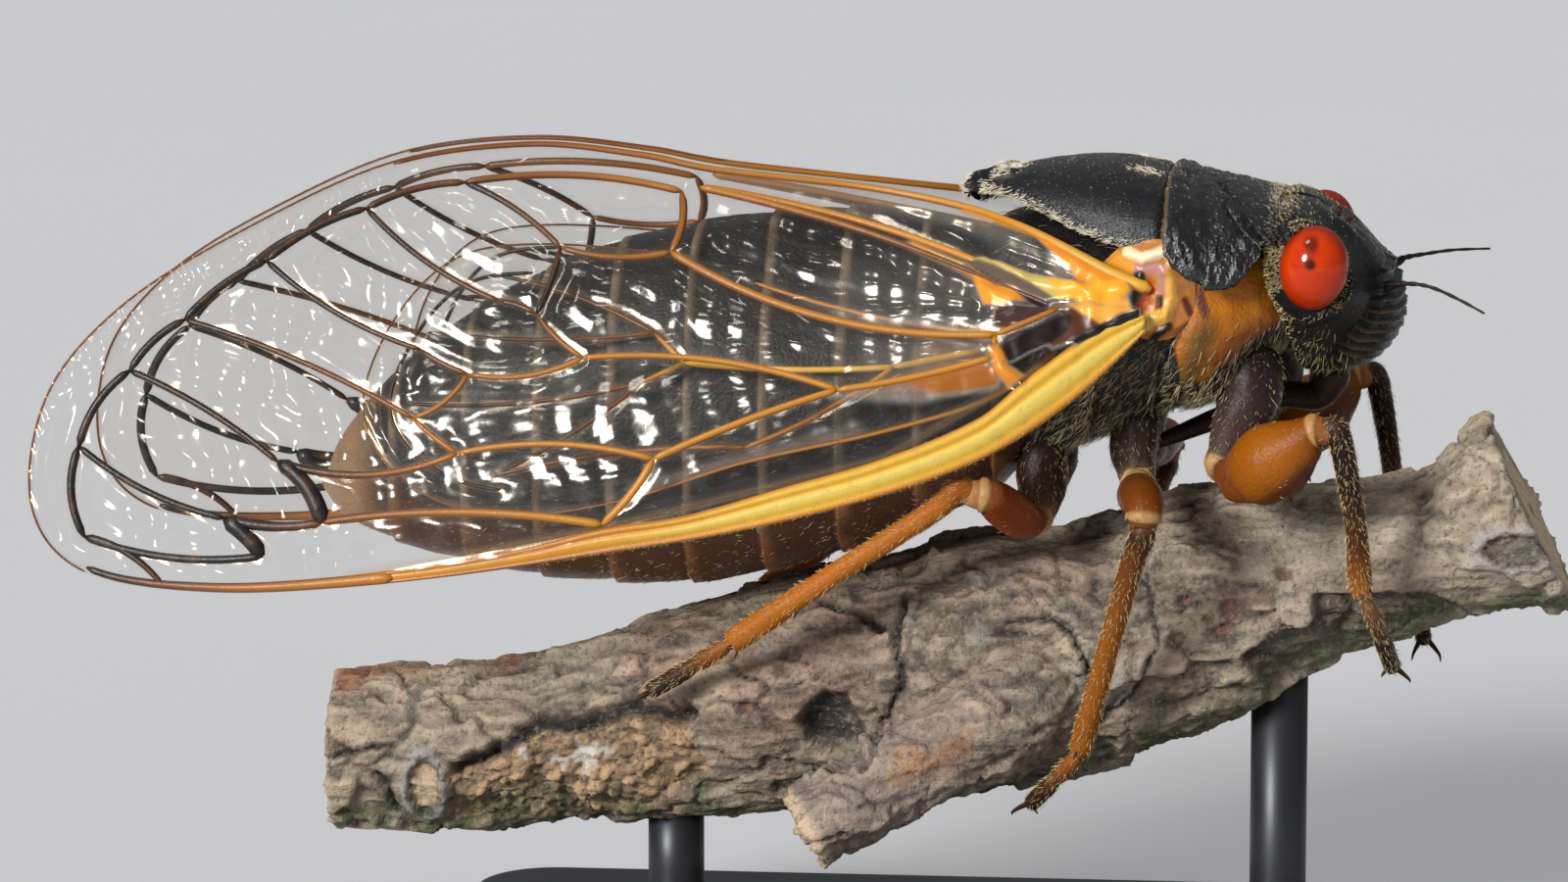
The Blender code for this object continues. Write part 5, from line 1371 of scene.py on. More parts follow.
legShape = {  # each part: x, y, height and radius along it, on the left side
    "fore": {
        "coxa": [(7.9, 2.6, 19.0, 0.8), (7.75, 2.8, 18.2, 0.86), (7.4, 2.95, 17.3, 0.68),
                 (7.05, 3.05, 16.5, 0.46)],
        "femur": [(7.5, 3.85, 16.0, 0.5), (7.9, 4.1, 16.3, 0.93), (8.55, 4.55, 16.8, 1.1),
                  (9.2, 4.95, 17.35, 0.76), (9.6, 5.15, 17.7, 0.48)],
        "tibia": [(10.25, 5.3, 17.8, 0.33), (10.45, 5.25, 17.1, 0.33), (10.78, 4.85, 15.2, 0.29),
                  (10.92, 4.4, 13.45, 0.34)],
        "tarsus": [(11.0, 4.2, 13.1, 0.2), (11.33, 3.55, 12.2, 0.23), (11.62, 2.85, 11.3, 0.25),
                   (11.8, 2.2, 10.68, 0.24)],
    },
    "mid": {
        "coxa": [(4.6, 2.3, 17.4, 0.75), (4.6, 2.55, 16.7, 0.68), (4.7, 2.9, 16.0, 0.48)],
        "femur": [(4.75, 3.62, 15.75, 0.45), (4.8, 4.3, 15.75, 0.6), (4.95, 5.5, 15.8, 0.6),
                  (5.05, 6.2, 15.6, 0.5)],
        "tibia": [(5.0, 6.3, 14.87, 0.36), (4.75, 6.05, 14.2, 0.34), (4.1, 5.2, 11.8, 0.3),
                  (3.3, 4.1, 8.8, 0.33)],
        "tarsus": [(3.2, 4.0, 8.4, 0.22), (2.7, 3.6, 7.75, 0.25), (2.2, 3.1, 7.15, 0.25),
                   (1.8, 2.65, 6.68, 0.24)],
    },
    "hind": {
        "coxa": [(2.0, 2.2, 16.4, 0.7), (2.0, 2.4, 15.8, 0.66), (1.95, 2.8, 14.95, 0.48)],
        "femur": [(1.7, 3.5, 14.75, 0.42), (1.45, 4.05, 15.0, 0.58), (1.05, 5.0, 15.5, 0.58),
                  (0.75, 5.6, 15.85, 0.48)],
        "tibia": [(-0.12, 5.78, 16.0, 0.34), (-0.8, 5.6, 15.4, 0.32), (-3.4, 5.0, 13.6, 0.3),
                  (-6.2, 4.3, 11.6, 0.36)],
        "tarsus": [(-6.5, 4.2, 11.35, 0.22), (-7.3, 3.95, 10.85, 0.26), (-8.1, 3.7, 10.3, 0.26),
                   (-8.8, 3.55, 9.85, 0.25)],
    },
    "leftForeShift": 0.8,
    "coxaShare": 0.6,
    "clawLength": 0.72,
    "clawColour": (0.03, 0.012, 0.008),
    "bristles": (562, 125, 1250, 500),  # on the coxa, femur, tibia and tarsus
    "bristleLengths": (0.08, 0.25),
    "bristleWidths": (0.006, 0.011),
    "bristleRise": 0.45,
    "bristleColours": [(0.66, 0.48, 0.2), (0.8, 0.64, 0.34), (0.42, 0.26, 0.09)],
    "kneeRing": (0.46, 0.27, 0.1),
    "spineColour": (0.05, 0.018, 0.008),
    "keelColour": (0.05, 0.015, 0.008),
    "foreSpines": [(8.85, 4.75, 16.1, 0.55), (9.35, 5.0, 16.75, 0.5)],  # place and length
    "tibiaSpines": {  # place along the tibia, how many round it, length
        "fore": [(0.97, 3, 0.2)], "mid": [(0.97, 5, 0.26)],
        "hind": [(0.6, 1, 0.3), (0.75, 2, 0.3), (0.97, 6, 0.32)]},
}
legColours = {  # colours along each part of a leg
    "fore": {
        "coxa": [(0.012, 0.01, 0.01), (0.03, 0.02, 0.02), (0.08, 0.05, 0.045), (0.2, 0.1, 0.05)],
        "femur": [(0.12, 0.035, 0.01), (0.16, 0.036, 0.002), (0.25, 0.07, 0.003), (0.28, 0.08, 0.003),
                  (0.2, 0.05, 0.003), (0.26, 0.1, 0.03)],
        "tibia": [(0.24, 0.11, 0.04), (0.04, 0.02, 0.015), (0.01, 0.007, 0.006), (0.012, 0.007, 0.005),
                  (0.07, 0.02, 0.004), (0.33, 0.1, 0.008), (0.33, 0.1, 0.008)],
        "tarsus": [(0.35, 0.16, 0.05), (0.2, 0.09, 0.04), (0.02, 0.012, 0.01), (0.012, 0.01, 0.01)],
    },
    "mid": {
        "coxa": [(0.015, 0.011, 0.01), (0.03, 0.02, 0.015), (0.3, 0.2, 0.11)],
        "femur": [(0.4, 0.26, 0.11), (0.06, 0.02, 0.006), (0.12, 0.03, 0.003), (0.14, 0.035, 0.003),
                  (0.16, 0.05, 0.012)],
        "tibia": [(0.2, 0.1, 0.045), (0.03, 0.01, 0.005), (0.1, 0.028, 0.004), (0.22, 0.066, 0.005),
                  (0.26, 0.08, 0.006), (0.22, 0.06, 0.005)],
        "tarsus": [(0.36, 0.12, 0.012), (0.26, 0.08, 0.01), (0.05, 0.02, 0.01), (0.012, 0.01, 0.01)],
    },
    "hind": {
        "coxa": [(0.015, 0.011, 0.01), (0.03, 0.015, 0.01), (0.3, 0.15, 0.07)],
        "femur": [(0.15, 0.045, 0.01), (0.2, 0.032, 0.003), (0.22, 0.038, 0.002), (0.18, 0.028, 0.002),
                  (0.36, 0.18, 0.07)],
        "tibia": [(0.2, 0.07, 0.015), (0.25, 0.068, 0.006), (0.34, 0.1, 0.008), (0.37, 0.11, 0.009),
                  (0.34, 0.1, 0.008), (0.25, 0.068, 0.006)],
        "tarsus": [(0.36, 0.12, 0.012), (0.26, 0.08, 0.01), (0.05, 0.02, 0.01), (0.012, 0.01, 0.01)],
    },
}
legParts = ("coxa", "femur", "tibia", "tarsus")


def legRows(leg, part, node):
    shift = legShape["leftForeShift"] if (leg, node) == ("fore", "left") else 0.0
    shift *= legShape["coxaShare"] if part == "coxa" else 1.0
    return np.array(legShape[leg][part]) + (shift, 0, 0, 0)


def jointedRows(leg, node):  # each part reaches into its neighbours' joints
    rows = [legRows(leg, part, node) for part in legParts]
    joints = [(before[-1] + after[0]) / 2 for before, after in zip(rows, rows[1:])]
    made = []
    for k, part in enumerate(rows):
        first = [np.append(joints[k - 1][:3], part[0][3] * 0.95)] if k else []
        last = [np.append(joints[k][:3], part[-1][3] * 0.8)] if k < 3 else []
        made.append(np.array(first + list(part) + last))
    return made


def alongColours(form, colours):
    rows = np.array(colours)
    spots = np.linspace(0, 1, len(rows))
    return np.stack([np.interp(form.tags["along"], spots, rows[:, k]) for k in range(3)]
                    + [np.ones(len(form.points))], axis=1)


def spike(root, direction, length, width):
    line = np.array([root - direction * 0.08, root + direction * length * 0.5, root + direction * length])
    return tube(line, [width, width * 0.6, width * 0.08], 8, roundEnds=False)


def clawPair(end, along, length):
    claws = []
    for spread in (-1, 1):
        sideways = unit(np.cross(along, (0.1, 0.0, 1.0))) * spread * 0.3 * length
        inward = unit(np.array([0, -1.0, -0.5]) - along * 0.1)
        path = [end - along * 0.1, end + along * 0.35 * length + sideways,
                end + along * 0.7 * length + sideways * 1.8 + inward * 0.15 * length,
                end + along * 0.75 * length + sideways * 2.0 + inward * 0.55 * length]
        claws.append(tube(curveThrough(path, 10), np.linspace(0.1, 0.015, 31), 12))
    return painted(merged(claws), legShape["clawColour"])


def tarsusWaists(along):  # between its three joints
    return 1 - 0.24 * bell(along - 0.3, 0.05) - 0.24 * bell(along - 0.6, 0.05)


def legPart(leg, k, rows):
    form = limb(rows, 16, 30, tarsusWaists if k == 3 else None)
    form.tags["tint"] = alongColours(form, legColours[leg][legParts[k]])
    place = form.tags["along"]
    lift = 0.02 * cloud(form.points, 0.35, 3, 70 + k)
    if k == 0:  # ridges and a pale band near the lower end
        lift = lift + 0.13 * cloud(form.points * (1, 1, 0.4), 0.5, 2, 75) * ease(0.95, 0.7, place)
        band = ease(0.66, 0.72, place) * ease(0.86, 0.8, place)
        lift = lift + 0.05 * band
        blend(form, band * ease(-0.6, 0.1, cloud(form.points, 0.5, 2, 76)), legShape["kneeRing"])
    if k == 1:
        knee = ease(0.81, 0.835, place) * ease(0.89, 0.865, place)
        lift = lift + 0.06 * knee
        blend(form, knee * 0.75, legShape["kneeRing"])
    form.push(lift)
    if (leg, k) == ("fore", 1):  # darker along its lower side
        x, _, z = form.points.T
        keel = ease(-0.45, -0.95, z - 0.85 * (x - 8.55) - 16.8)
        blend(form, keel * ease(0.9, 0.6, place) * 0.85, legShape["keelColour"])
    form.tags["turn"] = (form.tags["turn"] * 0.96 + k) / len(legParts)  # its own strip of the bake map
    return form


def allRound(points):
    return np.ones(len(points))


def partBristles(form, k, rows):
    return hairs(form, allRound, legShape["bristles"][k], 80 + k, unit(rows[-1][:3] - rows[0][:3]),
                 legShape["bristleLengths"], legShape["bristleWidths"], legShape["bristleRise"],
                 legShape["bristleColours"])


def legSpines(leg, rows, node):
    spines = []
    lie, line = unit(rows[-1][:3] - rows[0][:3]), curveThrough(rows, 16)
    for place, count, length in legShape["tibiaSpines"][leg]:
        spot = line[int(place * (len(line) - 1) * 0.93)]
        for turn in np.linspace(0, 2 * math.pi, count, endpoint=False) + 0.4:
            outward = unit(np.cross(lie, (math.cos(turn), 0.2, math.sin(turn))))
            root = spot[:3] + outward * spot[3] * 0.85
            spines.append(spike(root, unit(lie * 1.1 + outward), length, 0.055))
    if leg == "fore":
        shift = legRows(leg, "femur", node)[0][0] - legShape["fore"]["femur"][0][0]
        for x, y, z, length in legShape["foreSpines"]:
            spines.append(spike(np.array([x + shift, y, z]), unit(np.array([0.45, 0, -1.0])), length, 0.13))
    return [painted(spine, legShape["spineColour"]) for spine in spines]


def makeLegs():
    finish, clawSkin, hairSkin = legFinish("legShell"), legFinish("claw"), hairFinish("legBristle", 0.25)
    for leg in ("fore", "mid", "hind"):
        for label, side, node in sidesOfBody:
            forms, coats = [], []
            parts = jointedRows(leg, node)
            for k, rows in enumerate(parts):
                forms.append(legPart(leg, k, rows))
                coats.append(partBristles(forms[-1], k, rows))
            whole, coat = merged(forms + legSpines(leg, parts[2], node)), merged(coats)
            foot, end = legRows(leg, "tarsus", node)[-2:, :3]
            claws = clawPair(end, unit(end - foot), legShape["clawLength"])
            if side < 0:
                whole, coat, claws = whole.mirrored(), coat.mirrored(), claws.mirrored()
            nodes = [f"leg_{leg}_{node}_{part}" for part in legParts]
            makePiece(f"{leg}Leg{label}", whole, finish, nodes)
            makePiece(f"{leg}LegBristles{label}", coat, hairSkin, nodes)
            makePiece(f"{leg}Claws{label}", claws, clawSkin, [nodes[-1]])
    print("legs made")


# Perch and stand

perchShape = {
    "twig": [  # x, height of the middle line, half width, half height
        (-18.4, 7.3, 2.2, 2.35), (-15.2, 7.35, 2.25, 2.35), (-12.5, 7.65, 2.35, 2.4),
        (-10.0, 8.0, 2.5, 2.6), (-7.6, 8.65, 2.8, 2.95), (-5.0, 9.2, 3.0, 3.2),
        (-2.5, 9.7, 3.15, 3.45), (0.0, 10.15, 3.25, 3.7), (2.4, 10.5, 3.2, 3.5),
        (4.8, 11.2, 3.0, 3.35), (7.0, 12.2, 2.85, 3.2), (9.2, 12.85, 2.75, 2.5),
        (11.2, 13.15, 2.75, 2.25), (13.4, 13.75, 2.6, 2.2), (15.6, 14.8, 2.8, 2.9)],
    "stub": [(3.0, -0.6, 10.4), (1.2, -2.6, 9.3), (-1.2, -3.7, 8.0), (-3.2, -4.4, 6.9),
             (-4.5, -4.8, 6.15)],
    "stubRadii": [1.8, 1.6, 1.3, 1.35, 1.2],
    "voxel": 0.105,
}
barkMarks = {  # outlines and paths drawn in the side view, on the twig's near side
    "crumbly": [(-14.9, 7.0), (-13.97, 7.35), (-13.2, 7.7), (-12.5, 8.25), (-11.5, 8.4),
                (-10.3, 8.75), (-9.3, 9.0), (-8.0, 8.9), (-7.3, 7.2), (-8.8, 6.3), (-11.0, 5.4),
                (-13.1, 5.0), (-15.0, 5.3)],
    "bareRight": [(7.6, 10.95), (8.75, 11.6), (9.6, 11.9), (9.6, 12.69), (10.46, 12.71),
                  (11.88, 12.66), (13.31, 12.4), (14.24, 11.77), (15.45, 12.07), (16.16, 12.73),
                  (17.2, 12.9), (17.2, 10.6), (12.0, 9.8), (8.5, 9.6)],
    "hole": [(-4.76, 9.0), (-4.12, 9.8), (-3.47, 9.75), (-3.19, 9.0), (-2.75, 8.3), (-3.62, 8.0),
             (-4.4, 8.2)],
    "cracks": [  # path, half width, depth
        ([(-14.61, 7.1), (-13.97, 7.4), (-13.54, 7.65), (-13.0, 8.0), (-12.58, 8.3), (-12.2, 8.55),
          (-11.5, 8.55), (-10.98, 8.6), (-10.34, 8.85), (-9.6, 9.12), (-8.95, 9.1), (-8.4, 8.85),
          (-7.9, 9.1)], 0.2, 0.5),
        ([(-18.22, 7.44), (-17.73, 7.56), (-17.09, 7.76), (-16.51, 7.81)], 0.08, 0.28),
        ([(-16.99, 6.92), (-16.67, 6.5), (-16.56, 5.96), (-16.34, 5.64)], 0.09, 0.25),
        ([(1.12, 11.79), (2.26, 11.99), (2.83, 11.6), (3.25, 10.89), (3.47, 10.18)], 0.06, 0.28),
        ([(-1.79, 12.5), (-2.08, 11.25), (-1.79, 10.1), (-2.44, 8.8), (-2.79, 8.08)], 0.1, 0.25),
        ([(-4.19, 12.1), (-3.33, 11.95), (-2.48, 11.55)], 0.12, 0.3),
        ([(4.9, 13.2), (5.3, 11.4), (4.6, 9.6), (3.3, 8.6)], 0.06, 0.14),
    ],
    "pits": [  # place and radius
        (6.05, 12.55, 0.2), (7.33, 12.3, 0.38), (7.05, 11.6, 0.4), (5.77, 11.43, 0.22),
        (8.76, 13.3, 0.25), (-6.2, 9.3, 0.3), (-5.3, 10.3, 0.2), (-5.6, 7.6, 0.28)],
    "scars": [  # place, half width, half height, colour inside
        (-15.6, 6.5, 0.45, 0.85, (0.56, 0.42, 0.27)), (15.2, 14.1, 0.9, 0.42, (0.16, 0.14, 0.1))],
    "knot": (1.4, 10.9),  # the middle of its rings
    "lichen": [(-12.7, 7.8), (-11.7, 7.7), (-10.7, 7.5)],
    "redWood": [[(-18.0, 9.5), (-17.2, 9.8), (-16.4, 9.9)], [(-16.0, 9.85), (-15.0, 10.1), (-13.4, 10.2)]],
    "rust": [(-1.74, 8.07), (-0.6, 8.3), (0.11, 8.6)],
}
barkColours = {
    "grey": (0.325, 0.258, 0.18),
    "purple": (0.29, 0.18, 0.13),
    "crumbly": (0.44, 0.28, 0.15),
    # bark gone from the right-hand stretch, dark with painted shadow in its recess
    "bareAndShaded": (0.06, 0.045, 0.03),
    # painted shadow: dark green on the twig's downward-facing underside
    "shadedUnderside": (0.075, 0.09, 0.03),
    "lichen": (0.62, 0.58, 0.52),
    "red": (0.26, 0.09, 0.03),
    "rust": (0.42, 0.17, 0.04),
    "wood": (0.56, 0.42, 0.27),
    "rim": (0.36, 0.33, 0.32),
    # painted shade in the gaps between flakes
    "gap": (0.04, 0.03, 0.025),
    # paler bark at the right end, and painted light on the upward-facing top
    "bleachAndTopLight": (0.58, 0.49, 0.37),
    # painted shade inside the cracks
    "crackShade": (0.01, 0.008, 0.007),
}


def makePerch():
    line = curveThrough(perchShape["twig"], 8)
    turn = np.linspace(0, 2 * math.pi, 48, endpoint=False)[None]
    tilt = np.arctan(np.gradient(line[:, 1], line[:, 0]))[:, None]
    up = line[:, 3:4] * np.sin(turn)
    rings = np.stack([line[:, :1] - up * np.sin(tilt), line[:, 2:3] * np.cos(turn),
                      line[:, 1:2] + up * np.cos(tilt)], axis=2)
    stub = curveThrough(perchShape["stub"], 8)
    steps = np.linspace(0, 1, len(perchShape["stubRadii"]))
    radii = np.interp(np.linspace(0, 1, len(stub)), steps, perchShape["stubRadii"])
    form = merged([fromRings(rings), tube(stub, radii, 32, roundEnds=False)])
    bark = makePiece("bark", form, barkFinish(), ["perch"])
    voxel = bark.modifiers.new("oneSurface", "REMESH")
    voxel.mode, voxel.voxel_size = "VOXEL", perchShape["voxel"] * mm
    soft = bark.modifiers.new("soften", "SMOOTH")
    soft.iterations, soft.factor = 8, 0.6
    depsgraph = bpy.context.evaluated_depsgraph_get()
    solid = bpy.data.meshes.new_from_object(bark.evaluated_get(depsgraph))
    bark.modifiers.clear()
    bark.data = solid
    count = len(solid.vertices)
    points, normals = np.zeros((2, count * 3))
    solid.vertices.foreach_get("co", points)
    solid.vertices.foreach_get("normal", normals)
    points, normals = points.reshape(-1, 3) / mm, normals.reshape(-1, 3)
    form = barkForm(points, normals)
    for mark in (flakyBark, knotRings, bareStretches, smallMarks, woodEnds):
        mark(form)
    points = points + normals * form.tags["lift"][:, None]
    solid.vertices.foreach_set("co", (points * mm).ravel())
    tint = form.tags["tint"].ravel()
    solid.attributes.new("tint", "FLOAT_COLOR", "POINT").data.foreach_set("color", tint)
    solid.shade_smooth()
    solid.update()
    print("perch made", count)


def barkForm(points, normals):  # the twig's points with the values that its marks share
    # each mark adds to "lift", how far a point moves outwards, and paints over "tint"
    form = painted(Form(points, normals=normals, lift=np.zeros(len(points))), barkColours["grey"])
    x, y, _ = points.T
    stubAway = np.full(len(points), 9.0)
    for spot in curveThrough(perchShape["stub"], 8):
        stubAway = np.minimum(stubAway, np.linalg.norm(points - spot, axis=1))
    form.tags["onStub"] = ease(1.75, 1.45, stubAway) * ease(0.8, -0.8, x)
    form.tags["near"] = ease(-0.6, -1.6, y)
    form.tags["warp"] = np.stack([cloud(points, 0.9, 2, seed) for seed in (1, 2, 3)], axis=1)
    ragged = np.stack([cloud(points, 0.3, 3, 4), cloud(points, 0.3, 3, 5)], axis=1)
    form.tags["flat"] = points[:, [0, 2]] + 0.12 * ragged
    form.tags["grain"] = cloud((points + 0.25 * form.tags["warp"]) * (0.25, 1, 1), 0.22, 3, 42)
    return form


def flakyBark(form):  # long grain, papery flakes and soft lumps all round, painted shade in the gaps between flakes, painted light on the top
    points, grain, warp = form.points, form.tags["grain"], form.tags["warp"]
    upward, lift = form.tags["normals"][:, 2], form.tags["lift"]
    flakes, tag = cells((points + 0.55 * warp) * (0.4, 1, 1), 1.15, 43)
    step = ease(0.25, 0.45, tag) * 0.5 + ease(0.6, 0.75, tag) * 0.5
    gap = bell(flakes, 0.06) * ease(0.3, 0.6, tag)
    lift += 0.26 * cloud(points * (0.45, 1, 1), 1.7, 3, 41) + 0.12 * grain + 0.26 * (step - 0.5)
    lift += 0.07 * cloud(points * (0.5, 1, 1), 0.4, 3, 58) - 0.2 * gap
    blend(form, ease(-0.2, 0.5, cloud(points, 2.4, 3, 44)) * 0.8, barkColours["purple"])
    form.tags["tint"][:, :3] *= np.clip(0.62 + 0.5 * tag + 1.0 * grain, 0.12, 1.5)[:, None]
    # painted shade in the gaps between flakes
    blend(form, gap * 0.75, barkColours["gap"])
    # painted light on the upward-facing top, and paler bark towards the right end
    bleachAndTopLight = np.maximum(0.3 * ease(0.3, 0.9, upward), 0.6 * ease(6.5, 8.5, points[:, 0]))
    bleachAndTopLight = bleachAndTopLight * ease(-0.4, 0.5, cloud(points, 1.1, 3, 59))
    blend(form, bleachAndTopLight * 0.7, barkColours["bleachAndTopLight"])


def knotRings(form):
    points = form.points
    kx, kz = barkMarks["knot"]
    away = np.hypot((points[:, 0] - kx) * 0.85, points[:, 2] - kz)
    turned = away + 0.65 * cloud(points, 1.2, 3, 45) + 0.08 * form.tags["grain"]
    knot = form.tags["near"] * ease(3.4, 2.6, away) * (1 - form.tags["onStub"])
    rings = np.abs(np.sin(turned * 4.6))
    form.tags["lift"] += knot * (0.34 * ease(3.2, 1.5, away) + 0.16 * rings ** 0.6 - 0.1)
    blend(form, knot * ease(0.4, 0.0, rings) * 0.7, (0.05, 0.045, 0.037))
    blend(form, knot * ease(0.0, 0.6, cloud(points, 0.7, 3, 46)) * 0.4, (0.42, 0.43, 0.37))


def bareStretches(form):  # where the bark has come off, with painted shade between the crumbs and painted shadow in the right-hand recess
    points, flat, near, lift = form.points, form.tags["flat"], form.tags["near"], form.tags["lift"]
    crumbly = region(flat, barkMarks["crumbly"], 0.1) * near * (1 - form.tags["onStub"])
    crumbs, crumbTag = cells(points + 0.15 * form.tags["warp"], 0.42, 47)
    lift -= crumbly * (0.34 - 0.22 * crumbTag * ease(0.0, 0.3, crumbs))
    blend(form, crumbly, barkColours["crumbly"])
    form.tags["tint"][:, :3] *= (1 - crumbly * (0.55 - 0.75 * crumbTag))[:, None]
    # painted shade in the grooves between the crumbs
    blend(form, crumbly * ease(0.12, 0.02, crumbs) * 0.7, (0.05, 0.035, 0.025))
    bareAndShaded = region(flat, barkMarks["bareRight"], 0.08) * near
    lift += 0.1 * bareAndShaded * cloud(points, 0.4, 3, 48) - 0.42 * bareAndShaded
    # painted shadow: the bare recess is painted dark
    blend(form, bareAndShaded * 0.85, barkColours["bareAndShaded"])
    blend(form, bareAndShaded * ease(0.1, 0.5, cloud(points, 0.7, 2, 49)) * 0.6, (0.2, 0.17, 0.09))


def smallMarks(form):  # cracks, pits, scars and stains, painted shade in the cracks, hole, pit walls and scar edges, and a painted shadow on the underside
    points, flat, near, lift = form.points, form.tags["flat"], form.tags["near"], form.tags["lift"]
    onStub = form.tags["onStub"]
    for path, half, depth in barkMarks["cracks"]:
        crack = streak(flat, path, half, half * 0.6) * near
        lift -= depth * crack
        # painted shade, near black, inside each crack
        blend(form, crack * 0.95, barkColours["crackShade"])
    hole = region(flat, barkMarks["hole"], 0.12) * near
    lift -= 0.55 * hole
    # painted shade: the hole is darkened inside
    blend(form, hole * 0.92, (0.016, 0.012, 0.01))
    for px, pz, reach in barkMarks["pits"]:
        spot = np.hypot(flat[:, 0] - px, (flat[:, 1] - pz) * 1.4) / reach
        spot = spot + 0.5 * cloud(points, 0.3, 2, 56)
        lift -= 0.22 * ease(1.1, 0.4, spot) * near
        blend(form, ease(1.0, 0.6, spot) * near * 0.75, (0.2, 0.085, 0.045))
        # painted shade: a dark ring on the wall of each pit
        blend(form, bell(spot - 1.0, 0.25) * near * 0.7, (0.03, 0.022, 0.02))
    for sx, sz, wide, high, colour in barkMarks["scars"]:
        spot = np.hypot((flat[:, 0] - sx) / wide, (flat[:, 1] - sz) / high)
        inside = ease(1.05, 0.95, spot) * near
        lift += 0.13 * bell(spot - 1.25, 0.2) * near - 0.14 * inside
        blend(form, bell(spot - 1.35, 0.25) * near * 0.8, barkColours["rim"])
        blend(form, inside, colour)
        blend(form, inside * ease(0.0, 0.4, cloud(points, 0.25, 2, 50)) * 0.7, (0.12, 0.08, 0.05))
        # painted shade: a dark line along the step into each scar
        blend(form, bell(spot - 1.02, 0.1) * near * 0.85, (0.02, 0.016, 0.014))
    for path in barkMarks["redWood"]:
        blend(form, streak(points[:, [0, 2]], path, 0.32, 0.2) * 0.85, barkColours["red"])
    spots = ease(0.1, 0.35, cloud(points, 0.22, 2, 51))
    blend(form, streak(flat, barkMarks["lichen"], 0.5, 0.3) * spots * near * 0.9, barkColours["lichen"])
    blend(form, onStub * 0.4, (0.3, 0.22, 0.2))
    stain = streak(flat, barkMarks["rust"], 0.35, 0.4) * ease(-0.5, 0.4, cloud(points, 0.5, 3, 57))
    blend(form, onStub * stain * 0.8, barkColours["rust"])
    # painted shadow, dark green, over the downward-facing underside, with a little bump
    under = ease(-0.25, -0.8, form.tags["normals"][:, 2])
    shadedUnderside = under * ease(-0.3, 0.3, cloud(points, 0.8, 3, 52)) * (1 - 0.6 * onStub)
    lift += 0.08 * shadedUnderside * cloud(points, 0.16, 2, 53)
    blend(form, shadedUnderside * 0.85, barkColours["shadedUnderside"])


def woodEnds(form):  # the stub's broken end and the twig's sawn ends: pale wood with rings
    points, lift = form.points, form.tags["lift"]
    first, last = curveThrough(perchShape["stub"], 8)[-2:]
    along = unit(last - first)
    beyond = (points - last) @ along
    broken = ease(-0.45, -0.15, beyond) * ease(2.2, 1.6, np.linalg.norm(points - last, axis=1))
    turned = points @ np.stack([along, *np.linalg.svd(along[None])[2][1:]]).T
    splinter = cloud(turned * (0.25, 1, 1), 0.22, 2, 54)
    lift += broken * 0.22 * splinter
    blend(form, broken, barkColours["wood"])
    blend(form, broken * ease(0.0, 0.6, splinter) * 0.6, (0.3, 0.17, 0.1))
    x, y, z = points.T
    sawn = ease(0.75, 0.9, np.abs(form.tags["normals"][:, 0])) * ((x < -17.9) | (x > 14.2)) * (1 - broken)
    rows = np.array(perchShape["twig"])
    rings = np.hypot(y, z - np.interp(x, rows[:, 0], rows[:, 1]))
    lift *= 1 - 0.85 * sawn
    growth = ease(0.2, 0.9, np.sin(rings * 9 + cloud(points, 0.7, 2, 55)))
    blend(form, sawn * (rings < 2.05), (0.5, 0.38, 0.24))
    blend(form, sawn * growth * 0.5, (0.34, 0.22, 0.12))
    blend(form, sawn * ease(0.35, 0.1, rings), (0.12, 0.07, 0.04))


def barkFinish():
    f = Finish("bark")
    broad, fine = f.noise(1.4, 4.0), f.noise(0.16, 6.0, rough=0.65)
    long = f.noise(0.3, 5.0, (0.25, 1.0, 1.0))
    colour = f.mix(fine.above(0.5, 0.72) * 0.4, f.tag("tint"), (0.52, 0.47, 0.4))
    # painted shade, near black, in the low points of the fine bump
    colour = f.mix(fine.above(0.48, 0.3) * 0.7, colour, (0.03, 0.025, 0.02))
    bump = f.bump(fine, 0.11, 1.0, f.bump(long, 0.16, 1.0))
    return f.done(f.skin(Base_Color=colour, Roughness=0.62 + broad * 0.2, Normal=bump))


def standFinish():
    f = Finish("standMetal")
    fine = f.noise(0.05, 2.0)
    broad = f.noise(3.0, 2.0)
    colour = f.mix(broad, (0.032, 0.033, 0.036), (0.045, 0.046, 0.05))
    return f.done(f.skin(Base_Color=colour, Metallic=0.55 + fine * 0.1, Roughness=0.36 + broad * 0.08,
                         Normal=f.bump(fine, 0.003)))


standShape = {
    "base": (31.0, 18.0, 2.0),  # length, width, thickness
    "corner": 2.5,
    "edge": 0.5,
    "rodRadius": 0.8,
    "rods": {"rear": (-8.6, 6.2), "front": (8.6, 10.7)},  # place along the base, height of the hidden top
}


def slab(size, corner, edge):  # a flat base with round corners and a rounded upper edge
    turn = np.linspace(0, 2 * math.pi, 96, endpoint=False) + 0.001
    cosine, sine = np.cos(turn), np.sin(turn)
    profile = [(1.5, 0.0), (0.1, 0.0), (0.0, 0.1)]
    for angle in np.linspace(0, math.pi / 2, 8):
        profile.append((edge * (1 - math.cos(angle)), size[2] - edge + edge * math.sin(angle)))
    profile += [(edge + 0.2, size[2]), (edge + 1.5, size[2])]
    rings = []
    for inset, z in profile:
        x = np.sign(cosine) * (size[0] / 2 - corner) + (corner - inset) * cosine
        y = np.sign(sine) * (size[1] / 2 - corner) + (corner - inset) * sine
        rings.append(np.stack([x, y, np.full(96, z)], axis=1))
    return fromRings(rings)


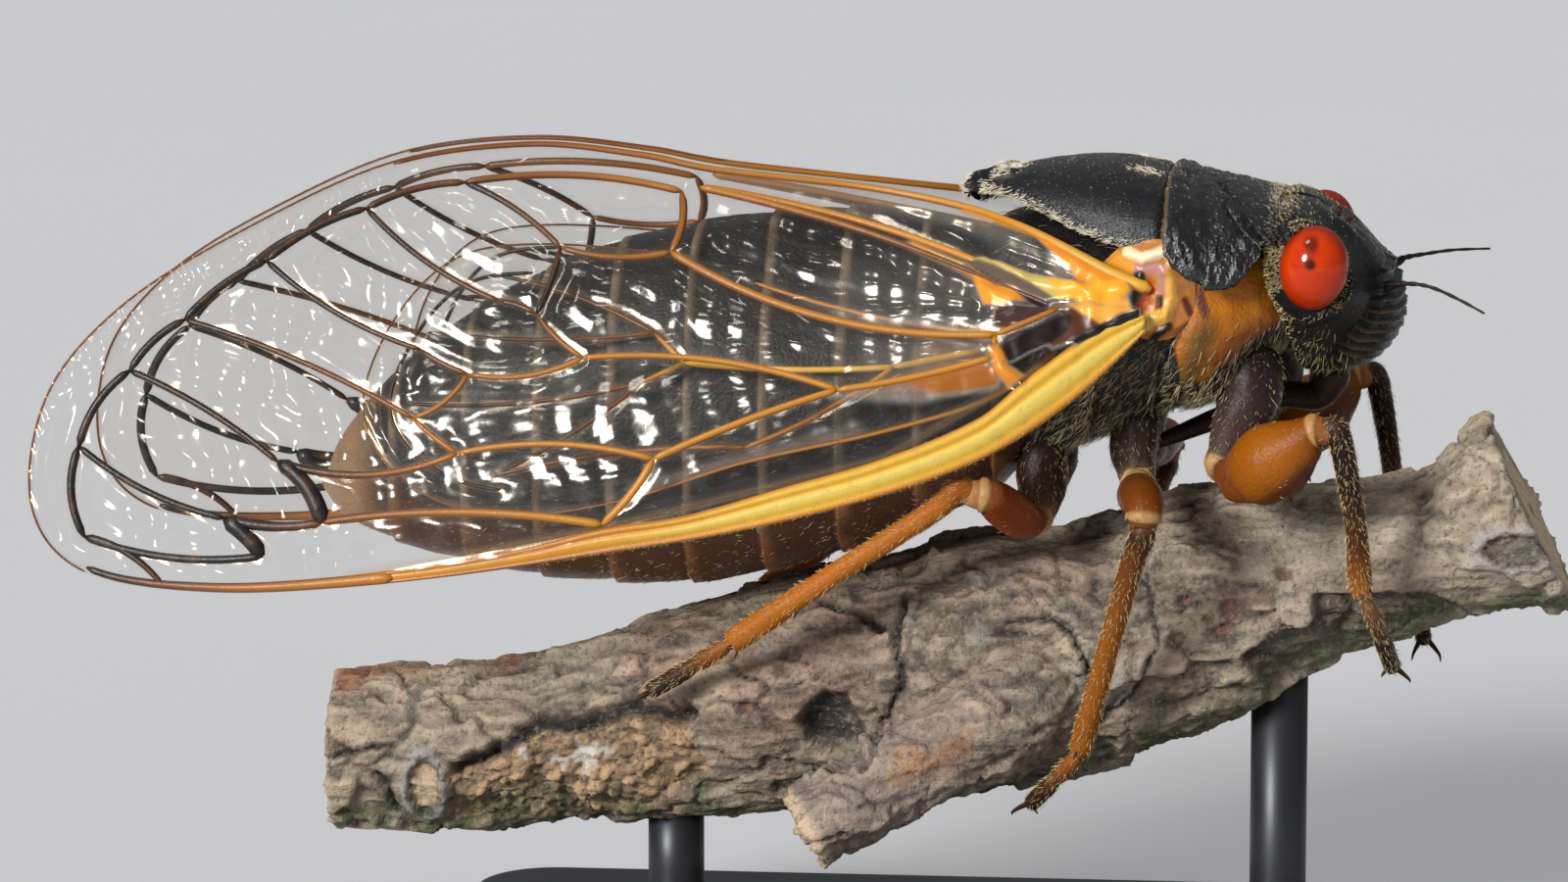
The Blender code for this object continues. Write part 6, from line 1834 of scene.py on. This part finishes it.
def makeStand():
    finish = standFinish()
    base = slab(standShape["base"], standShape["corner"], standShape["edge"])
    makePiece("standBase", base, finish, ["stand_base"])
    for node, (x, top) in standShape["rods"].items():
        path = [(x, 0, 1.9), (x, 0, 2.1), (x, 0, 4.0), (x, 0, top)]
        rod = tube(path, standShape["rodRadius"], 64, roundEnds=False)
        makePiece(f"standRod_{node}", rod, finish, [f"stand_rod_{node}"])
    print("stand made")


# Studio

studio = {
    "azimuth": 6.0,
    "elevation": 9.0,
    "target": (-5.5, 0.0, 16.4),
    "distance": 200.0,
    "lens": 162.0,
    "floorColour": (0.58, 0.58, 0.59),
    "floorReach": 3000.0,
    "floorBelow": 0.02,
    "lights": [  # name, azimuth, elevation, width as an angle, strength, seen in reflections
        ("keyLight", -34.0, 22.0, 15.0, 3.75, True),
        ("highLight", -50.0, 60.0, 12.0, 0.5, True),
        ("fillLight", 55.0, 30.0, 80.0, 0.35, False),
        ("backLight", 170.0, 55.0, 60.0, 0.8, False),
    ],
    "worldLight": 0.2,
    "worldColour": (0.94, 0.96, 1.0, 1.0),
}


def towards(azimuth, elevation):
    a, e = math.radians(azimuth), math.radians(elevation)
    return np.array([math.sin(a) * math.cos(e), -math.cos(a) * math.cos(e), math.sin(e)])


def aimed(obj, place, target):
    obj.location = Vector(place * mm)
    obj.rotation_euler = Vector((place - target) * mm).to_track_quat("Z", "Y").to_euler()
    bpy.context.scene.collection.objects.link(obj)


def makeStudio():
    target = np.array(studio["target"])
    camera = bpy.data.cameras.new("camera")
    camera.lens, camera.sensor_width = studio["lens"], 36.0
    camera.clip_start, camera.clip_end = 0.005, 10.0
    seer = bpy.data.objects.new("camera", camera)
    aimed(seer, target + towards(studio["azimuth"], studio["elevation"]) * studio["distance"], target)
    bpy.context.scene.camera = seer
    for name, azimuth, elevation, width, strength, reflected in studio["lights"]:
        light = bpy.data.lights.new(name, "SUN")
        light.angle, light.energy = math.radians(width), strength
        lamp = bpy.data.objects.new(name, light)
        lamp.visible_glossy = reflected
        aimed(lamp, target + towards(azimuth, elevation) * studio["distance"], target)
    world = bpy.data.worlds.new("studio")
    world.use_nodes = True
    sky = world.node_tree.nodes["Background"]
    sky.inputs["Color"].default_value = studio["worldColour"]
    sky.inputs["Strength"].default_value = studio["worldLight"]
    bpy.context.scene.world = world
    bpy.context.scene.view_settings.view_transform = "Standard"  # keeps the reds and oranges pure
    reach, below = studio["floorReach"] * mm, studio["floorBelow"] * mm
    corners = [(x * reach, y * reach, -below) for x, y in ((-1, -1), (1, -1), (1, 1), (-1, 1))]
    floor = bpy.data.meshes.new("floor")
    floor.from_pydata(corners, [], [(0, 1, 2, 3)])
    f = Finish("floor")
    darker = tuple(value * 0.95 for value in studio["floorColour"])
    colour = f.mix(f.noise(40.0, 2.0) * 0.3, studio["floorColour"], darker)
    floor.materials.append(f.done(f.skin(Base_Color=colour, Roughness=0.8)))
    ground = bpy.data.objects.new("floor", floor)
    bpy.context.scene.collection.objects.link(ground)
    print("studio made")


makeStudio()
makeWings()
makeTrunk()
makeHinges()
makePronotum()
makeMesonotum()
makeAbdomen()
makeHead()
makeEyes()
makeFeelers()
makeLegs()
makePerch()
makeStand()
